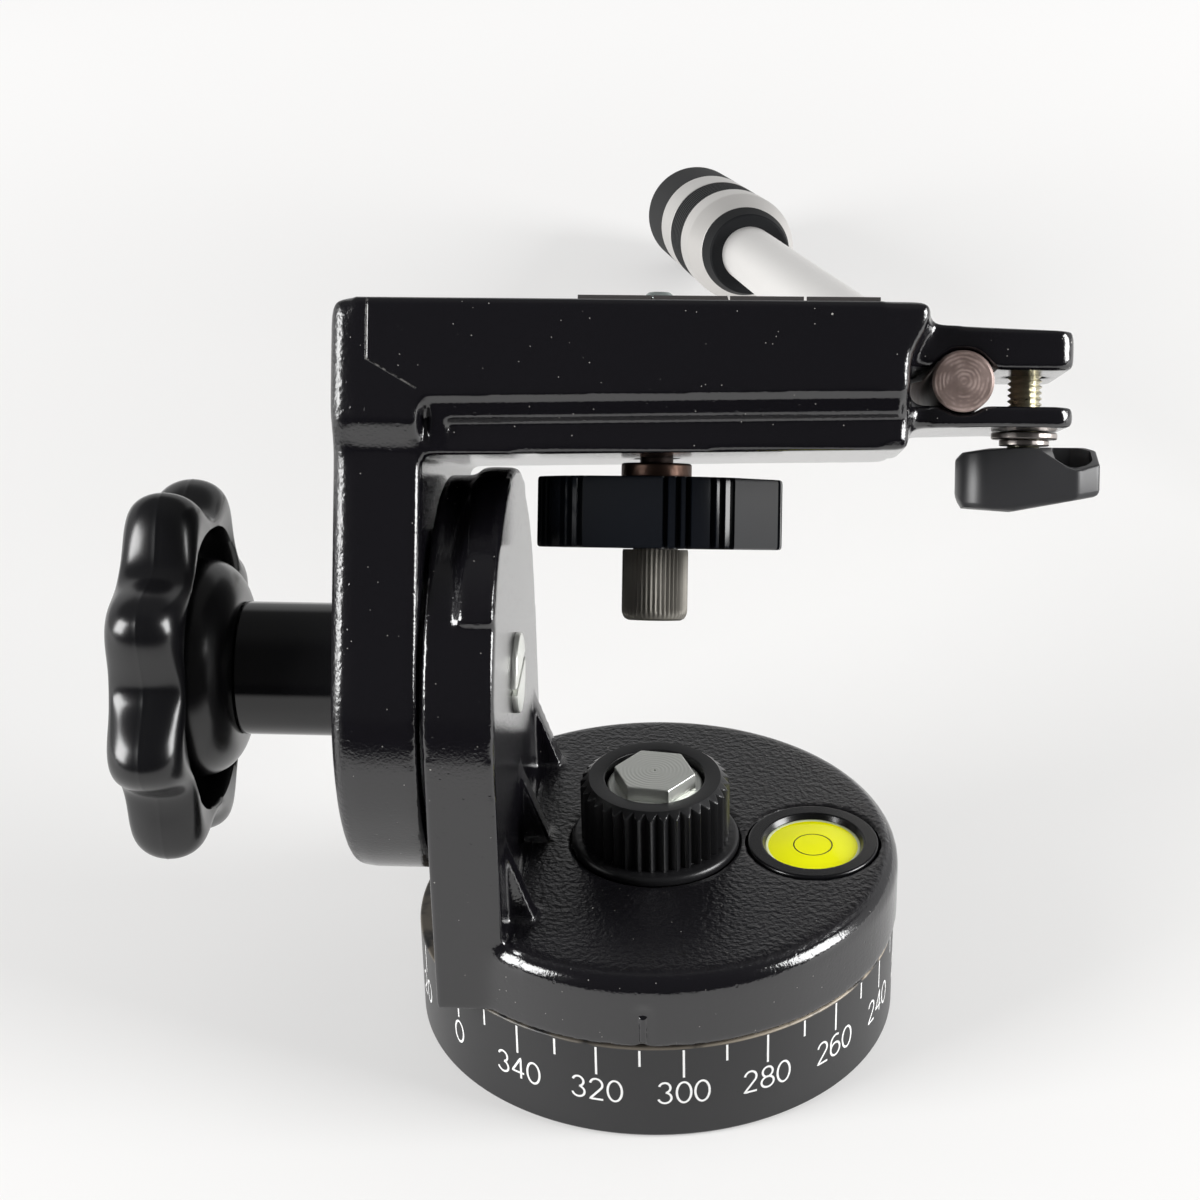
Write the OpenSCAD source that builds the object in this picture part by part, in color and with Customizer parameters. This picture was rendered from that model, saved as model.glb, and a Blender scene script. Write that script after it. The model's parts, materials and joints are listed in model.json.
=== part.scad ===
// Fluid video head: a scale base, a panning turret with an upright, and a tilting platform arm
// with a camera screw, a handle clamp and a bent pan bar. Millimetres, +Z up, handle towards +Y.

/* [Base] */
// Diameter of the scale base
base_d = 88; // [80:1:100]
// Height of the scale base
base_h = 19.4; // [18:0.2:26]
// Thickness of the base's floor
base_floor = 6; // [4:0.5:8]
// Thickness of the base's outer wall
base_wall = 8; // [7:0.5:9]
// Chamfer round the base's lower edge
base_edge = 0.8; // [0.3:0.1:2]
// Diameter of the hub inside the base
hub_d = 32; // [28:1:34]
// How far the hub's top lies below the base's rim
hub_drop = 2.4; // [1.5:0.1:3.5]
// Outer diameter of the threaded tripod bush
bush_d = 16; // [13:0.5:17]
// Length of the threaded tripod bush
bush_l = 9; // [7:0.5:10]
// Thread bore of the tripod bush, for a 3/8 inch screw
socket_d = 8; // [7.8:0.1:8.2]
// Gap at the seam between the base and the turret
seam_gap = 0.4; // [0.2:0.1:0.8]

/* [Pan spindle] */
// Diameter of the spindle's foot in the hub
foot_d = 18; // [17:0.5:20]
// Diameter of the spindle where the turret turns on it
spindle_d = 16; // [14:0.5:16]
// Diameter of the spindle's threaded top
spindle_thread_d = 14; // [12:0.5:14]
// Length of the spindle above the turret's top
spindle_rise = 7; // [6.8:0.1:9]
// Width across the flats of the centre bolt's head
bolt_af = 13; // [11:0.5:14]
// Height of the centre bolt's head
bolt_head_h = 2.7; // [2:0.1:6]
// Diameter of the centre bolt's shank
bolt_d = 8; // [6:0.5:9]
// Length of the centre bolt's shank under its washer
bolt_l = 13; // [9:0.5:16]
// Turn of the centre bolt's flats
bolt_turn = -7.3; // [-30:0.1:30]
// Diameter of the bolt's washer
bolt_washer_d = 17.4; // [15:0.2:17.6]
// Thickness of the bolt's washer
bolt_washer_t = 4.9; // [1:0.1:6]
// Thickness of the thrust washer on the hub
thrust_t = 1; // [0.6:0.1:1.6]

/* [Turret] */
// Diameter of the turret
turret_d = 89; // [80:0.5:100]
// Height of the turret from the seam to its top
turret_h = 14.2; // [14:0.2:18]
// Rounding of the turret's top edge
turret_edge = 3.6; // [1:0.2:5]
// Thickness of the turret's top plate
turret_plate = 6; // [5:0.5:7]
// Diameter of the boss that holds the pan bush
boss_d = 30; // [27:0.5:31]
// Wall of the pan bush
pan_bush_wall = 2; // [1:0.1:2.5]
// Diameter of the seal ring's section
seal_w = 2; // [1.4:0.1:2.4]
// Width of the index line in the turret's skirt
index_w = 1; // [0.6:0.1:2]
// Height of the index line
index_h = 5.4; // [3:0.2:8]

/* [Damper] */
// Thickness of a damper fin
fin_t = 1.2; // [0.8:0.1:1.6]
// Spacing of the fins on one damper plate
fin_pitch = 6; // [5:0.2:7]
// Thickness of the damper plates
damper_plate_t = 1.5; // [1:0.1:1.8]

/* [Upright] */
// Distance of the upright's inner face from the pan axis
upright_x = 24.6; // [24:0.1:26]
// Thickness of the upright
upright_t = 12.2; // [11:0.2:14]
// Width of the upright, front to back
upright_w = 70.4; // [60:0.4:72]
// Height of the tilt axis above the base's underside
axis_h = 68.4; // [66:0.2:76]
// Rise of the raised band over the upright's round top
band_rise = 1.5; // [0.5:0.1:2]
// Width of the raised band
band_w = 6.4; // [4:0.2:9]
// Angle above level where the raised band starts
band_start = 42; // [20:1:60]
// Thickness of a gusset
gusset_t = 4; // [2.5:0.5:6]
// Length of a gusset along the turret's top
gusset_l = 5.2; // [3:0.2:6]
// Height of a gusset
gusset_h = 15; // [8:0.5:18]
// Spacing of the gussets
gusset_pitch = 26; // [20:0.5:28]

/* [Level] */
// Distance of the level from the pan axis
level_x = 28.9; // [28.5:0.1:29.5]
// Diameter of the level's ring
level_d = 24.2; // [22:0.2:24.6]
// Diameter of the level's window
level_window_d = 17.4; // [15:0.2:19]
// Depth of the level's pocket
level_depth = 10; // [8:0.2:10.4]
// How far the level's ring stands above the turret
level_proud = 0.4; // [0:0.1:1]
// Wall of the clear vial
vial_wall = 0.9; // [0.6:0.1:1.4]

/* [Pan drag knob] */
// Diameter over the flutes
pan_knob_d = 27.2; // [26:0.2:29]
// Diameter of the knob's foot flange
pan_flange_d = 30.8; // [30:0.2:33]
// Height of the knob
pan_knob_h = 14.1; // [13:0.1:16]
// Number of flutes
pan_flutes = 36; // [20:1:40]
// Depth of a flute
flute_depth = 1.1; // [0.6:0.1:1.4]
// Depth of the seat in the turret's top
pan_seat_depth = 1.2; // [0.8:0.1:1.6]
// Recess of the knob around the bolt's washer
pan_recess_d = 18.2; // [18:0.1:20]

/* [Tilt shaft and brake] */
// Diameter of the tilt shaft
shaft_d = 12; // [10:0.5:13]
// Diameter of the shaft's slotted head
shaft_head_d = 14.6; // [13.4:0.1:16]
// Thickness of the shaft's slotted head
shaft_head_t = 1; // [0.8:0.1:3]
// Width of the screwdriver slot
slot_w = 1.3; // [1:0.1:2.5]
// Diameter of the brake stack
brake_d = 53; // [46:1:60]
// Thickness of the fixed brake plate
brake_plate_t = 1.5; // [1:0.1:2]
// Thickness of the friction disc
brake_disc_t = 1.5; // [1:0.1:2]
// Thickness of the rotor on the arm
rotor_t = 1.6; // [1:0.1:2]
// Wall of the arm's bush
arm_bush_wall = 3; // [1.5:0.1:4]

/* [Tilt knob] */
// Diameter of the spacer sleeve between the arm and the knob
sleeve_d = 23.9; // [20:0.1:24.4]
// Length of the spacer sleeve
sleeve_l = 20.5; // [14:0.5:28]
// Diameter over the knob's lobes
star_d = 70; // [60:1:80]
// Diameter between the knob's lobes
star_valley_d = 57; // [52:1:60]
// Number of lobes
star_lobes = 8; // [6:1:9]
// Thickness of the knob's rim
star_t = 13.3; // [11:0.1:15]
// Turn of the lobes
star_turn = -3; // [-22:0.5:22]
// Diameter of the domed hub
star_hub_d = 39.4; // [36:0.2:41]
// How far the hub stands out of the rim, towards the arm
star_hub_rise = 5; // [3:0.2:7]
// Wall of the brass insert in the knob
insert_wall = 3; // [2:0.1:3.4]
// Rest of the knob's closed face beyond the shaft
star_face = 3; // [2:0.2:4]

/* [Arm and platform] */
// Tilt of the platform as it stands, front up
tilt_rest = 26.8; // [0:0.1:30]
// Running gap between the upright and the arm
arm_gap = 0.6; // [0.4:0.1:1]
// Thickness of the arm
arm_t = 15.2; // [12:0.2:18]
// Width of the arm
arm_w = 70; // [62:0.5:71]
// Height of the platform's top above the tilt axis
platform_n = 63.6; // [61:0.2:70]
// Height of the platform's slab
slab_h = 15.6; // [14:0.2:17]
// Height of the sloping step under the slab
step_h = 3.3; // [1:0.1:4]
// Height of the rib under the step
rib_h = 6.2; // [5:0.1:6.8]
// Depth of the slab, front to back
slab_w = 77.4; // [74:0.2:84]
// Depth of the rib, front to back
rib_w = 69; // [62:0.5:72]
// Height of the chamfer between the arm and the slab's end block
shoulder_h = 5.2; // [2:0.2:6]
// How far the arm's end block reaches below the slab
block_drop = 4.6; // [2:0.2:6]
// Rise of the slab's underside towards its right end, in degrees
slab_draft = 1.3; // [0:0.1:1.6]
// Distance of the platform's right end from the pan axis
slab_x = 46.6; // [44:0.2:47]
// Inset of the rib's right end
slab_under = 3.3; // [3:0.1:5]
// Inset of the slab's right end behind the ears, where the bent rod swings past
slab_relief = 4.4; // [4:0.1:6]
// Thickness of the rubber pad bars
pad_t = 0.75; // [0.5:0.05:2]
// Number of rubber pad bars
pad_bars = 4; // [3:1:6]
// Width of a pad bar
pad_w = 12.1; // [10:0.1:12.2]
// Gap between pad bars
pad_gap = 0.45; // [0.2:0.05:1]
// Margin of the pads from the platform's edges
pad_margin = 3.2; // [2:0.2:6]

/* [Camera screw] */
// Diameter of the camera thread, 1/4 inch
camera_d = 6.35; // [6.35:0.05:9.5]
// How far the camera screw stands above the platform
camera_rise = 4.4; // [4:0.1:6]
// Diameter of the screw's relieved neck
camera_neck_d = 5.9; // [5:0.1:6.2]
// Diameter of the screw's shank in the lock knob
camera_shank_d = 8; // [7.5:0.1:9]
// Diameter of the knurled finger head
finger_d = 11.7; // [10:0.1:13]
// Length of the knurled finger head
finger_l = 12.6; // [9:0.2:14]
// Diameter of the camera lock knob
lock_d = 44.8; // [38:0.2:45.4]
// Height of the camera lock knob
lock_h = 12.4; // [10:0.2:13]
// Diameter of the copper washer
lock_washer_d = 12.5; // [11:0.1:15]
// Thickness of the copper washer
lock_washer_t = 2.6; // [1.5:0.1:3]
// Free travel of the lock knob below the platform
lock_travel = 0.8; // [0.5:0.1:1.5]

/* [Handle clamp] */
// Distance of the pan bar's rod from the pan axis
rod_x = 52.2; // [52:0.1:54]
// Height of the rod above the tilt axis
rod_n = 51.1; // [50.6:0.1:52]
// Diameter of the rod
rod_d = 10.2; // [8:0.2:10.4]
// Radial clearance of the rod in the clamp
rod_clear = 0.3; // [0.2:0.05:0.6]
// Distance of the ears' tip from the pan axis
ear_x = 70.5; // [70:0.1:76]
// Front of the ears, forward of the tilt axis
ear_front = 30; // [26:0.5:34]
// Back of the ears, behind the tilt axis
ear_back = 14; // [10:0.5:20]
// Rounding of the ears' corners in plan
ear_round = 3; // [1:0.5:6]
// Thickness of the upper ear
ear_upper_t = 7.3; // [6:0.1:8]
// Thickness of the lower ear
ear_lower_t = 3.4; // [3:0.1:4]
// Height of the slot between the ears
ear_slot = 6; // [4.4:0.1:6.4]
// Distance of the clamp screw from the pan axis
clamp_x = 64; // [62:0.2:64.4]
// Place of the clamp screw along the ears
clamp_y = -8; // [-12:0.5:0]
// Diameter of the clamp screw
clamp_d = 6; // [5:0.1:6]
// Diameter of the clamp's washer
clamp_washer_d = 11.4; // [10:0.1:13]
// Thickness of the clamp's washer
clamp_washer_t = 1.2; // [0.8:0.1:1.6]
// Diameter of the lever's metal collar
collar_d = 8.6; // [8:0.1:10]
// Thickness of the lever's metal collar
collar_t = 1.1; // [0.8:0.1:2]
// Length of the clamp lever
lever_l = 24.6; // [18:0.2:30]
// Width of the clamp lever
lever_w = 12; // [9:0.2:16]
// Height of the clamp lever
lever_h = 11.4; // [9:0.2:12]

/* [Pan bar] */
// Where the rod bends, behind the tilt axis
bend_y = 26; // [24:0.5:34]
// Radius of the bend
bend_r = 30; // [20:1:40]
// Angle of the bend
bend_a = 15.8; // [10:0.2:18]
// Roll of the bend about the rod
bend_roll = -39.6; // [-60:0.2:-20]
// Straight stretch of rod between the bend and the tube
rod_tail = 16; // [15:0.5:30]
// Depth of the rod in the tube
rod_grip = 30; // [20:1:40]
// Diameter of the tube
tube_d = 15; // [14:0.5:18]
// Wall of the tube
tube_wall = 1.2; // [1:0.1:1.4]
// Distance from the bend to the grip's front ring
grip_from = 252; // [200:1:300]
// Diameter of the grip
grip_d = 29.8; // [26:0.2:32]
// Length of the front ring
ring_l = 8; // [5:0.5:12]
// Diameter of the front ring
ring_d = 23.6; // [23:0.2:25]
// Length of the front metal band
band_front_l = 24; // [15:0.5:30]
// Length of the ribbed sleeve
ribbed_l = 24; // [15:0.5:34]
// Length of the rear metal band
band_rear_l = 22; // [15:0.5:30]
// Length of the end cap
cap_l = 37; // [18:0.5:44]

/* [Clearances] */
// Radial play of a part fixed in its seat
seat_clear = 0.02; // [0.01:0.01:0.05]
// Radial play of a running fit
run_clear = 0.05; // [0.03:0.01:0.08]
// Free gap between faces that pass each other
face_gap = 0.2; // [0.1:0.05:0.3]
// Radial room of a bolt or shaft in a plain hole
hole_clear = 0.4; // [0.3:0.05:0.5]

/* [Hidden] */
$fn = 96;
eps = 0.01;
through = 400;

// Heights in the base and the turret
hub_h = base_h - hub_drop;
chamber_r = base_d / 2 - base_wall;
turret_z = base_h + seam_gap;
turret_top = turret_z + turret_h;
boss_z = hub_h + thrust_t + run_clear;
seat_z = turret_top - pan_seat_depth;
cavity_r = chamber_r - seal_w - 1;
plate_under = turret_top - turret_plate;

// Pan brake: a washer in the seat, a pressure ring on it and the knob above
friction_t = 1.4;
friction_z = seat_z - 1.2;
ring_z = friction_z + friction_t + face_gap / 2;
pressure_t = 1.8;
knob_z = seat_z + 0.4;
spindle_top = turret_top + spindle_rise;
bolt_z = spindle_top + bolt_washer_t;
pan_floor = ring_z + pressure_t + face_gap;
pan_hub_top = spindle_top - 2;

// Damper fins
fin_gap = 1;
rotor_z = boss_z + 0.5;
rotor_plate_t = damper_plate_t;
stator_top = base_floor + damper_plate_t;
fin_r = hub_d / 2 + 4;

// Level pocket, measured down from the turret's top
pocket_d = level_d + 2 * run_clear;
pocket_z = turret_top - level_depth;
pocket_floor = 1.5;
vial_floor = 1.5;

// Planes across the tilt axis
upright_in = -upright_x;
upright_out = upright_in - upright_t;
arm_in = upright_out - arm_gap;
arm_out = arm_in - arm_t;
brake_floor = arm_in + rotor_t + face_gap + brake_disc_t + brake_plate_t;
brake_plate_x = brake_floor - brake_plate_t;
brake_disc_x = brake_plate_x - brake_disc_t;
sleeve_x = arm_out - face_gap;
sleeve_end = sleeve_x - sleeve_l;
star_in = sleeve_end - face_gap;
rim_in = star_in - star_hub_rise;
rim_out = rim_in - star_t;
shaft_end = rim_out + star_face + 1.2;
dome_r = (star_hub_d - sleeve_d) / 2 - 0.2;
lobe_r = star_t / 2;
rim_x = rim_in - lobe_r;
star_web = 4.6;
star_crown = 0.3;
arm_bush_d = shaft_d + 2 * arm_bush_wall;

// Heights above the tilt axis, in the arm's own tilted frame
slab_n = platform_n - slab_h;
rib_n = slab_n - step_h;
under_n = rib_n - rib_h;
lock_washer_n = under_n - lock_travel - lock_washer_t;
lock_n = lock_washer_n - face_gap / 2 - lock_h;
finger_n = lock_n - face_gap - finger_l;
slot_top = rod_n + ear_slot / 3;
slot_bottom = slot_top - ear_slot;
upper_top = slot_top + ear_upper_t;
ear_under = slot_bottom - ear_lower_t;
clamp_washer_n = ear_under - face_gap / 2 - clamp_washer_t;
collar_n = clamp_washer_n - collar_t;
lever_n = collar_n - lever_h;
clamp_tip = upper_top - 1.2;
screw_tip = platform_n + camera_rise;
pad_l = slab_w - 2 * pad_margin;
pad_end = 7.9;
pad_hole_margin = 4.5;

// Reach of the slab's end cut, and the flat land under the lower ear, left of the clamp screw
cut_reach = 9;
ear_land = 7;

// Distances along the pan bar, from the bend's end
tail_end = rod_tail + rod_grip;
bend_l = bend_r * tan(bend_a / 2);
grip_start = grip_from - bend_l;
cap_from = grip_start + band_front_l + ribbed_l + band_rear_l;

// Moves the arm's own frame to the tilt axis and tips it back
module tipped() {
    translate([0, 0, axis_h]) rotate([-tilt_rest, 0, 0]) children();
}

// Stands a shape that is drawn along +Z along +X
module along_x() {
    rotate([90, 0, 90]) children();
}

// A round of diameter d along X, from x0 to x1, on the tilt axis of the turret's frame
module round_x(x0, x1, d) {
    translate([min(x0, x1), 0, axis_h]) rotate([0, 90, 0]) cylinder(d = d, h = abs(x1 - x0));
}

// A flat ring from z0, t thick
module ring(z0, t, d_out, d_in) {
    translate([0, 0, z0]) difference() {
        cylinder(d = d_out, h = t);
        translate([0, 0, -eps]) cylinder(d = d_in, h = t + 2 * eps);
    }
}

// A flat ring on the tilt axis, from x0 to x1
module ring_x(x0, x1, d_out, d_in) {
    translate([min(x0, x1), 0, axis_h]) rotate([0, 90, 0]) ring(0, abs(x1 - x0), d_out, d_in);
}

// Rectangle with round corners, from corner to corner
module rounded_box(x0, y0, x1, y1, r) {
    translate([x0 + r, y0]) square([x1 - x0 - 2 * r, y1 - y0]);
    translate([x0, y0 + r]) square([x1 - x0, y1 - y0 - 2 * r]);
    for (x = [x0 + r, x1 - r], y = [y0 + r, y1 - r]) translate([x, y]) circle(r = r);
}

// Base

module scale_base() {
    color([0.11, 0.11, 0.12]) difference() {
        rotate_extrude() polygon([[0, 0], [base_d / 2 - base_edge, 0], [base_d / 2, base_edge],
            [base_d / 2, base_h], [0, base_h]]);
        translate([0, 0, base_floor]) difference() {
            cylinder(r = chamber_r, h = base_h);
            cylinder(d = hub_d, h = hub_h - base_floor);
        }
        translate([0, 0, hub_h]) cylinder(d = hub_d + eps, h = base_h);
        translate([0, 0, -eps]) cylinder(d = bush_d + 2 * seat_clear, h = bush_l + eps);
        translate([0, 0, bush_l]) cylinder(d = foot_d + 2 * seat_clear, h = base_h);
    }
}

module tripod_bush() {
    color([0.62, 0.6, 0.55]) ring(0, bush_l, bush_d, socket_d);
}

module pan_spindle() {
    color([0.7, 0.7, 0.7]) difference() {
        union() {
            translate([0, 0, bush_l]) cylinder(d = foot_d, h = hub_h - bush_l);
            translate([0, 0, bush_l]) cylinder(d = spindle_d, h = seat_z - bush_l);
            translate([0, 0, bush_l]) cylinder(d = spindle_thread_d, h = spindle_top - bush_l);
        }
        translate([0, 0, spindle_top - bolt_l - 1]) cylinder(d = bolt_d + 2 * seat_clear, h = through);
    }
}

module thrust_washer() {
    color([0.9, 0.88, 0.8]) ring(hub_h, thrust_t, boss_d + 1, foot_d + 1);
}

module damper_stator() {
    color([0.6, 0.61, 0.63]) {
        ring(base_floor, damper_plate_t, 2 * chamber_r - 1, hub_d + 1);
        for (k = [0:2]) ring(base_floor, rotor_z - fin_gap - base_floor,
            2 * (fin_r + k * fin_pitch + fin_t), 2 * (fin_r + k * fin_pitch));
    }
}

module bolt_washer() {
    color([0.75, 0.75, 0.73]) ring(spindle_top, bolt_washer_t, bolt_washer_d, bolt_d + 2 * hole_clear);
}

module centre_bolt() {
    color([0.66, 0.67, 0.62]) {
        translate([0, 0, bolt_z]) rotate(bolt_turn) cylinder(d = bolt_af / cos(30), h = bolt_head_h, $fn = 6);
        translate([0, 0, spindle_top - bolt_l]) cylinder(d = bolt_d, h = bolt_l + bolt_washer_t + eps);
    }
}

// Turret

module turret_disc() {
    edge_r = turret_d / 2 - turret_edge;
    translate([0, 0, turret_z]) cylinder(d = turret_d, h = turret_h - turret_edge);
    translate([0, 0, turret_z]) cylinder(r = edge_r, h = turret_h);
    translate([0, 0, turret_top - turret_edge]) rotate_extrude() translate([edge_r, 0]) intersection() {
        circle(r = turret_edge);
        translate([-turret_edge, 0]) square([2 * turret_edge, turret_edge]);
    }
}

module upright_block() {
    translate([upright_out, 0, 0]) along_x() linear_extrude(upright_t) {
        translate([-upright_w / 2, turret_z]) square([upright_w, axis_h - turret_z]);
        translate([0, axis_h]) circle(d = upright_w);
    }
    translate([upright_in, 0, axis_h]) rotate([0, -90, 0]) rotate(band_start - 90)
        rotate_extrude(angle = 180 - 2 * band_start) translate([upright_w / 4, 0])
            square([upright_w / 4 + band_rise, band_w]);
}

module gussets() {
    for (k = [-1:1]) translate([0, k * gusset_pitch + gusset_t / 2, 0]) rotate([90, 0, 0])
        linear_extrude(gusset_t) polygon([[upright_in - 1, turret_top - 1], [upright_in + gusset_l, turret_top - 1],
            [upright_in + gusset_l, turret_top], [upright_in, turret_top + gusset_h],
            [upright_in - 1, turret_top + gusset_h]]);
}

module pan_housing() {
    color([0.06, 0.06, 0.065]) difference() {
        union() {
            difference() {
                turret_disc();
                translate([upright_out - through, -through / 2, 0]) cube([through, through, through]);
                translate([0, 0, turret_z - eps]) cylinder(r = cavity_r, h = plate_under - turret_z + eps);
            }
            difference() {
                upright_block();
                translate([0, 0, turret_z - eps]) cylinder(r = cavity_r, h = plate_under - turret_z + eps);
            }
            gussets();
            translate([0, 0, boss_z]) cylinder(d = boss_d, h = turret_top - boss_z);
            translate([level_x, 0, pocket_z - pocket_floor]) intersection() {
                cylinder(d = pocket_d + 3, h = turret_plate + 1);
                translate([-level_x, 0, 0]) cylinder(r = cavity_r + 1, h = through);
            }
        }
        translate([level_x, 0, pocket_z]) cylinder(d = pocket_d, h = through);
        translate([0, 0, seat_z]) cylinder(d = pan_flange_d + 2 * hole_clear, h = through);
        translate([0, 0, friction_z]) cylinder(d = pan_knob_d - 0.8, h = through);
        translate([0, 0, boss_z - eps]) cylinder(d = spindle_d + 2 * (run_clear + pan_bush_wall + seat_clear), h = through);
        translate([0, 0, turret_z - eps]) difference() {
            cylinder(r = chamber_r, h = seal_w);
            translate([0, 0, -eps]) cylinder(r = chamber_r - seal_w - seat_clear, h = seal_w + 3 * eps);
        }
        round_x(upright_out - through / 4, upright_in + through / 4, shaft_d + 2 * seat_clear);
        round_x(upright_out - through / 4, brake_floor, brake_d + 2 * hole_clear);
        translate([-index_w / 2, -turret_d, turret_z - eps]) cube([index_w, turret_d / 2 + 0.8, index_h]);
    }
}

module pan_bush() {
    color([0.72, 0.52, 0.25]) ring(boss_z + 0.1, friction_z - boss_z - 0.2,
        spindle_d + 2 * (run_clear + pan_bush_wall), spindle_d + 2 * run_clear);
}

module damper_rotor() {
    color([0.6, 0.61, 0.63]) {
        ring(rotor_z, rotor_plate_t, 2 * (cavity_r - 1), boss_d + 2 * seat_clear);
        for (k = [0:1]) ring(stator_top + fin_gap, rotor_z + rotor_plate_t - stator_top - fin_gap,
            2 * (fin_r + (k + 0.5) * fin_pitch + fin_t), 2 * (fin_r + (k + 0.5) * fin_pitch));
    }
}

module pan_seal() {
    color([0.08, 0.08, 0.08]) ring(turret_z - seal_w, 2 * seal_w - 0.1,
        2 * (chamber_r - run_clear), 2 * (chamber_r - seal_w));
}

module friction_washer() {
    color([0.45, 0.3, 0.2]) ring(friction_z, friction_t, pan_knob_d - 1.2, spindle_d + 2 * hole_clear);
}

module level_ring() {
    color([0.04, 0.04, 0.04]) translate([level_x, 0, 0]) difference() {
        translate([0, 0, pocket_z]) cylinder(d = level_d, h = level_depth + level_proud);
        translate([0, 0, pocket_z + vial_floor]) cylinder(d = level_window_d, h = through);
    }
}

module vial_space() {
    translate([level_x, 0, pocket_z + vial_floor + vial_wall])
        cylinder(d = level_window_d - 2 * (seat_clear + vial_wall), h = level_depth - vial_floor - 2 * vial_wall - 0.4);
}

module level_vial() {
    color([0.9, 0.95, 0.85, 0.5]) difference() {
        translate([level_x, 0, pocket_z + vial_floor])
            cylinder(d = level_window_d - 2 * seat_clear, h = level_depth - vial_floor - 0.4);
        vial_space();
    }
}

module level_fluid() {
    color([0.75, 0.9, 0.1]) vial_space();
}

module tilt_shaft() {
    color([0.7, 0.7, 0.68]) difference() {
        union() {
            round_x(upright_in, upright_in + shaft_head_t, shaft_head_d);
            round_x(shaft_end, upright_in + shaft_head_t / 2, shaft_d);
        }
        translate([upright_in + shaft_head_t / 5, -through / 2, axis_h - slot_w / 2]) cube([through, through, slot_w]);
    }
}

module brake_plate() {
    color([0.6, 0.6, 0.6]) ring_x(brake_plate_x, brake_floor, brake_d, shaft_d + 2 * hole_clear);
}

module brake_disc() {
    color([0.4, 0.3, 0.22]) ring_x(brake_disc_x, brake_plate_x, brake_d - 1, arm_bush_d + 1);
}

// Pan drag knob

module pressure_ring() {
    color([0.6, 0.6, 0.6]) ring(ring_z, pressure_t, pan_knob_d - 3, spindle_d + 2 * hole_clear);
}

// Outline of the fluted grip: a narrow land, then a groove
module fluted_outline() {
    step = 360 / pan_flutes;
    land_r = pan_knob_d / 2;
    root_r = land_r - flute_depth;
    polygon([for (k = [0:pan_flutes - 1], p = [[-0.4, land_r], [0, root_r], [0.4, land_r]])
        p[1] * [cos((k + p[0]) * step), sin((k + p[0]) * step)]]);
}

module pan_knob() {
    flange_t = 1.9;
    crown_h = 1;
    root_d = pan_knob_d - 2 * flute_depth - 0.2;
    flute_z = knob_z + flange_t - 0.2;
    flute_top = knob_z + pan_knob_h - crown_h;
    color([0.05, 0.05, 0.055]) difference() {
        union() {
            rotate_extrude() polygon([[0, knob_z], [pan_flange_d / 2 - 0.5, knob_z],
                [pan_flange_d / 2, knob_z + 0.5], [pan_flange_d / 2, knob_z + flange_t - 0.5],
                [pan_flange_d / 2 - 0.5, knob_z + flange_t], [0, knob_z + flange_t]]);
            translate([0, 0, flute_z]) linear_extrude(flute_top - flute_z) fluted_outline();
            translate([0, 0, flute_top - 0.2]) cylinder(d = root_d, h = 0.2);
            translate([0, 0, flute_top]) cylinder(d1 = root_d, d2 = root_d - 2 * crown_h, h = crown_h);
        }
        translate([0, 0, pan_hub_top]) cylinder(d = pan_recess_d, h = through);
        translate([0, 0, knob_z - eps]) cylinder(d = pan_knob_d - 2.2, h = pan_floor - knob_z + eps);
        translate([0, 0, knob_z - eps]) cylinder(d = spindle_thread_d + 2 * run_clear, h = through);
    }
}

// Tilt knob

module tilt_sleeve() {
    color([0.07, 0.07, 0.075]) ring_x(sleeve_end, sleeve_x, sleeve_d, shaft_d + 2 * hole_clear);
}

// The knob's lobed rim, drawn along +Z from its closed face
module star_body() {
    valley_r = star_valley_d / 2;
    lobe_from = lobe_r / tan(180 / star_lobes) + 1.5;
    rotate_extrude() polygon([[0, -star_crown], [lobe_from + 2, -star_crown], [valley_r - lobe_r * 0.5, 1],
        [valley_r, lobe_r * 0.6], [valley_r, lobe_r * 1.4], [valley_r - lobe_r * 0.5, star_t - 1],
        [0, star_t - 1]]);
    for (k = [0:star_lobes - 1]) rotate(k * 360 / star_lobes + star_turn) translate([lobe_from, 0, lobe_r])
        rotate([0, 90, 0]) rotate_extrude() {
            square([lobe_r, star_d / 2 - lobe_r - lobe_from]);
            translate([0, star_d / 2 - lobe_r - lobe_from]) intersection() {
                circle(r = lobe_r);
                square(lobe_r);
            }
        }
}

// The domed hub, drawn along +Z from the web
module star_hub() {
    cylinder(d = star_hub_d, h = star_t - star_web + star_hub_rise - dome_r);
    translate([0, 0, star_t - star_web + star_hub_rise - dome_r]) {
        cylinder(d = star_hub_d - 2 * dome_r, h = dome_r);
        rotate_extrude() translate([star_hub_d / 2 - dome_r, 0]) intersection() {
            circle(r = dome_r);
            square(dome_r);
        }
    }
}

module star_knob() {
    pocket_out = star_valley_d - 6.4;
    color([0.04, 0.04, 0.042]) translate([rim_out, 0, axis_h]) rotate([0, 90, 0]) difference() {
        union() {
            difference() {
                star_body();
                translate([0, 0, star_web]) cylinder(d = pocket_out, h = through);
            }
            translate([0, 0, star_web - 1]) cylinder(d = star_hub_d - 1, h = 1 + eps);
            translate([0, 0, star_web]) star_hub();
        }
        translate([0, 0, star_face]) cylinder(d = shaft_d + 2 * (run_clear + insert_wall + seat_clear), h = through);
    }
}

module knob_insert() {
    color([0.75, 0.6, 0.3]) ring_x(rim_out + star_face + 0.6, star_in - 0.6,
        shaft_d + 2 * (run_clear + insert_wall), shaft_d + 2 * run_clear);
}

// Tilting arm, in its own frame: X as before, Y along the rod and Z away from the tilt axis

// Section of the slab and its rib, front to back
module slab_section() {
    over_n = platform_n + 2;
    polygon([[-slab_w / 2, over_n], [slab_w / 2, over_n], [slab_w / 2, slab_n], [rib_w / 2, rib_n],
        [rib_w / 2, under_n], [-rib_w / 2, under_n], [-rib_w / 2, rib_n], [-slab_w / 2, slab_n]]);
}

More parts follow.
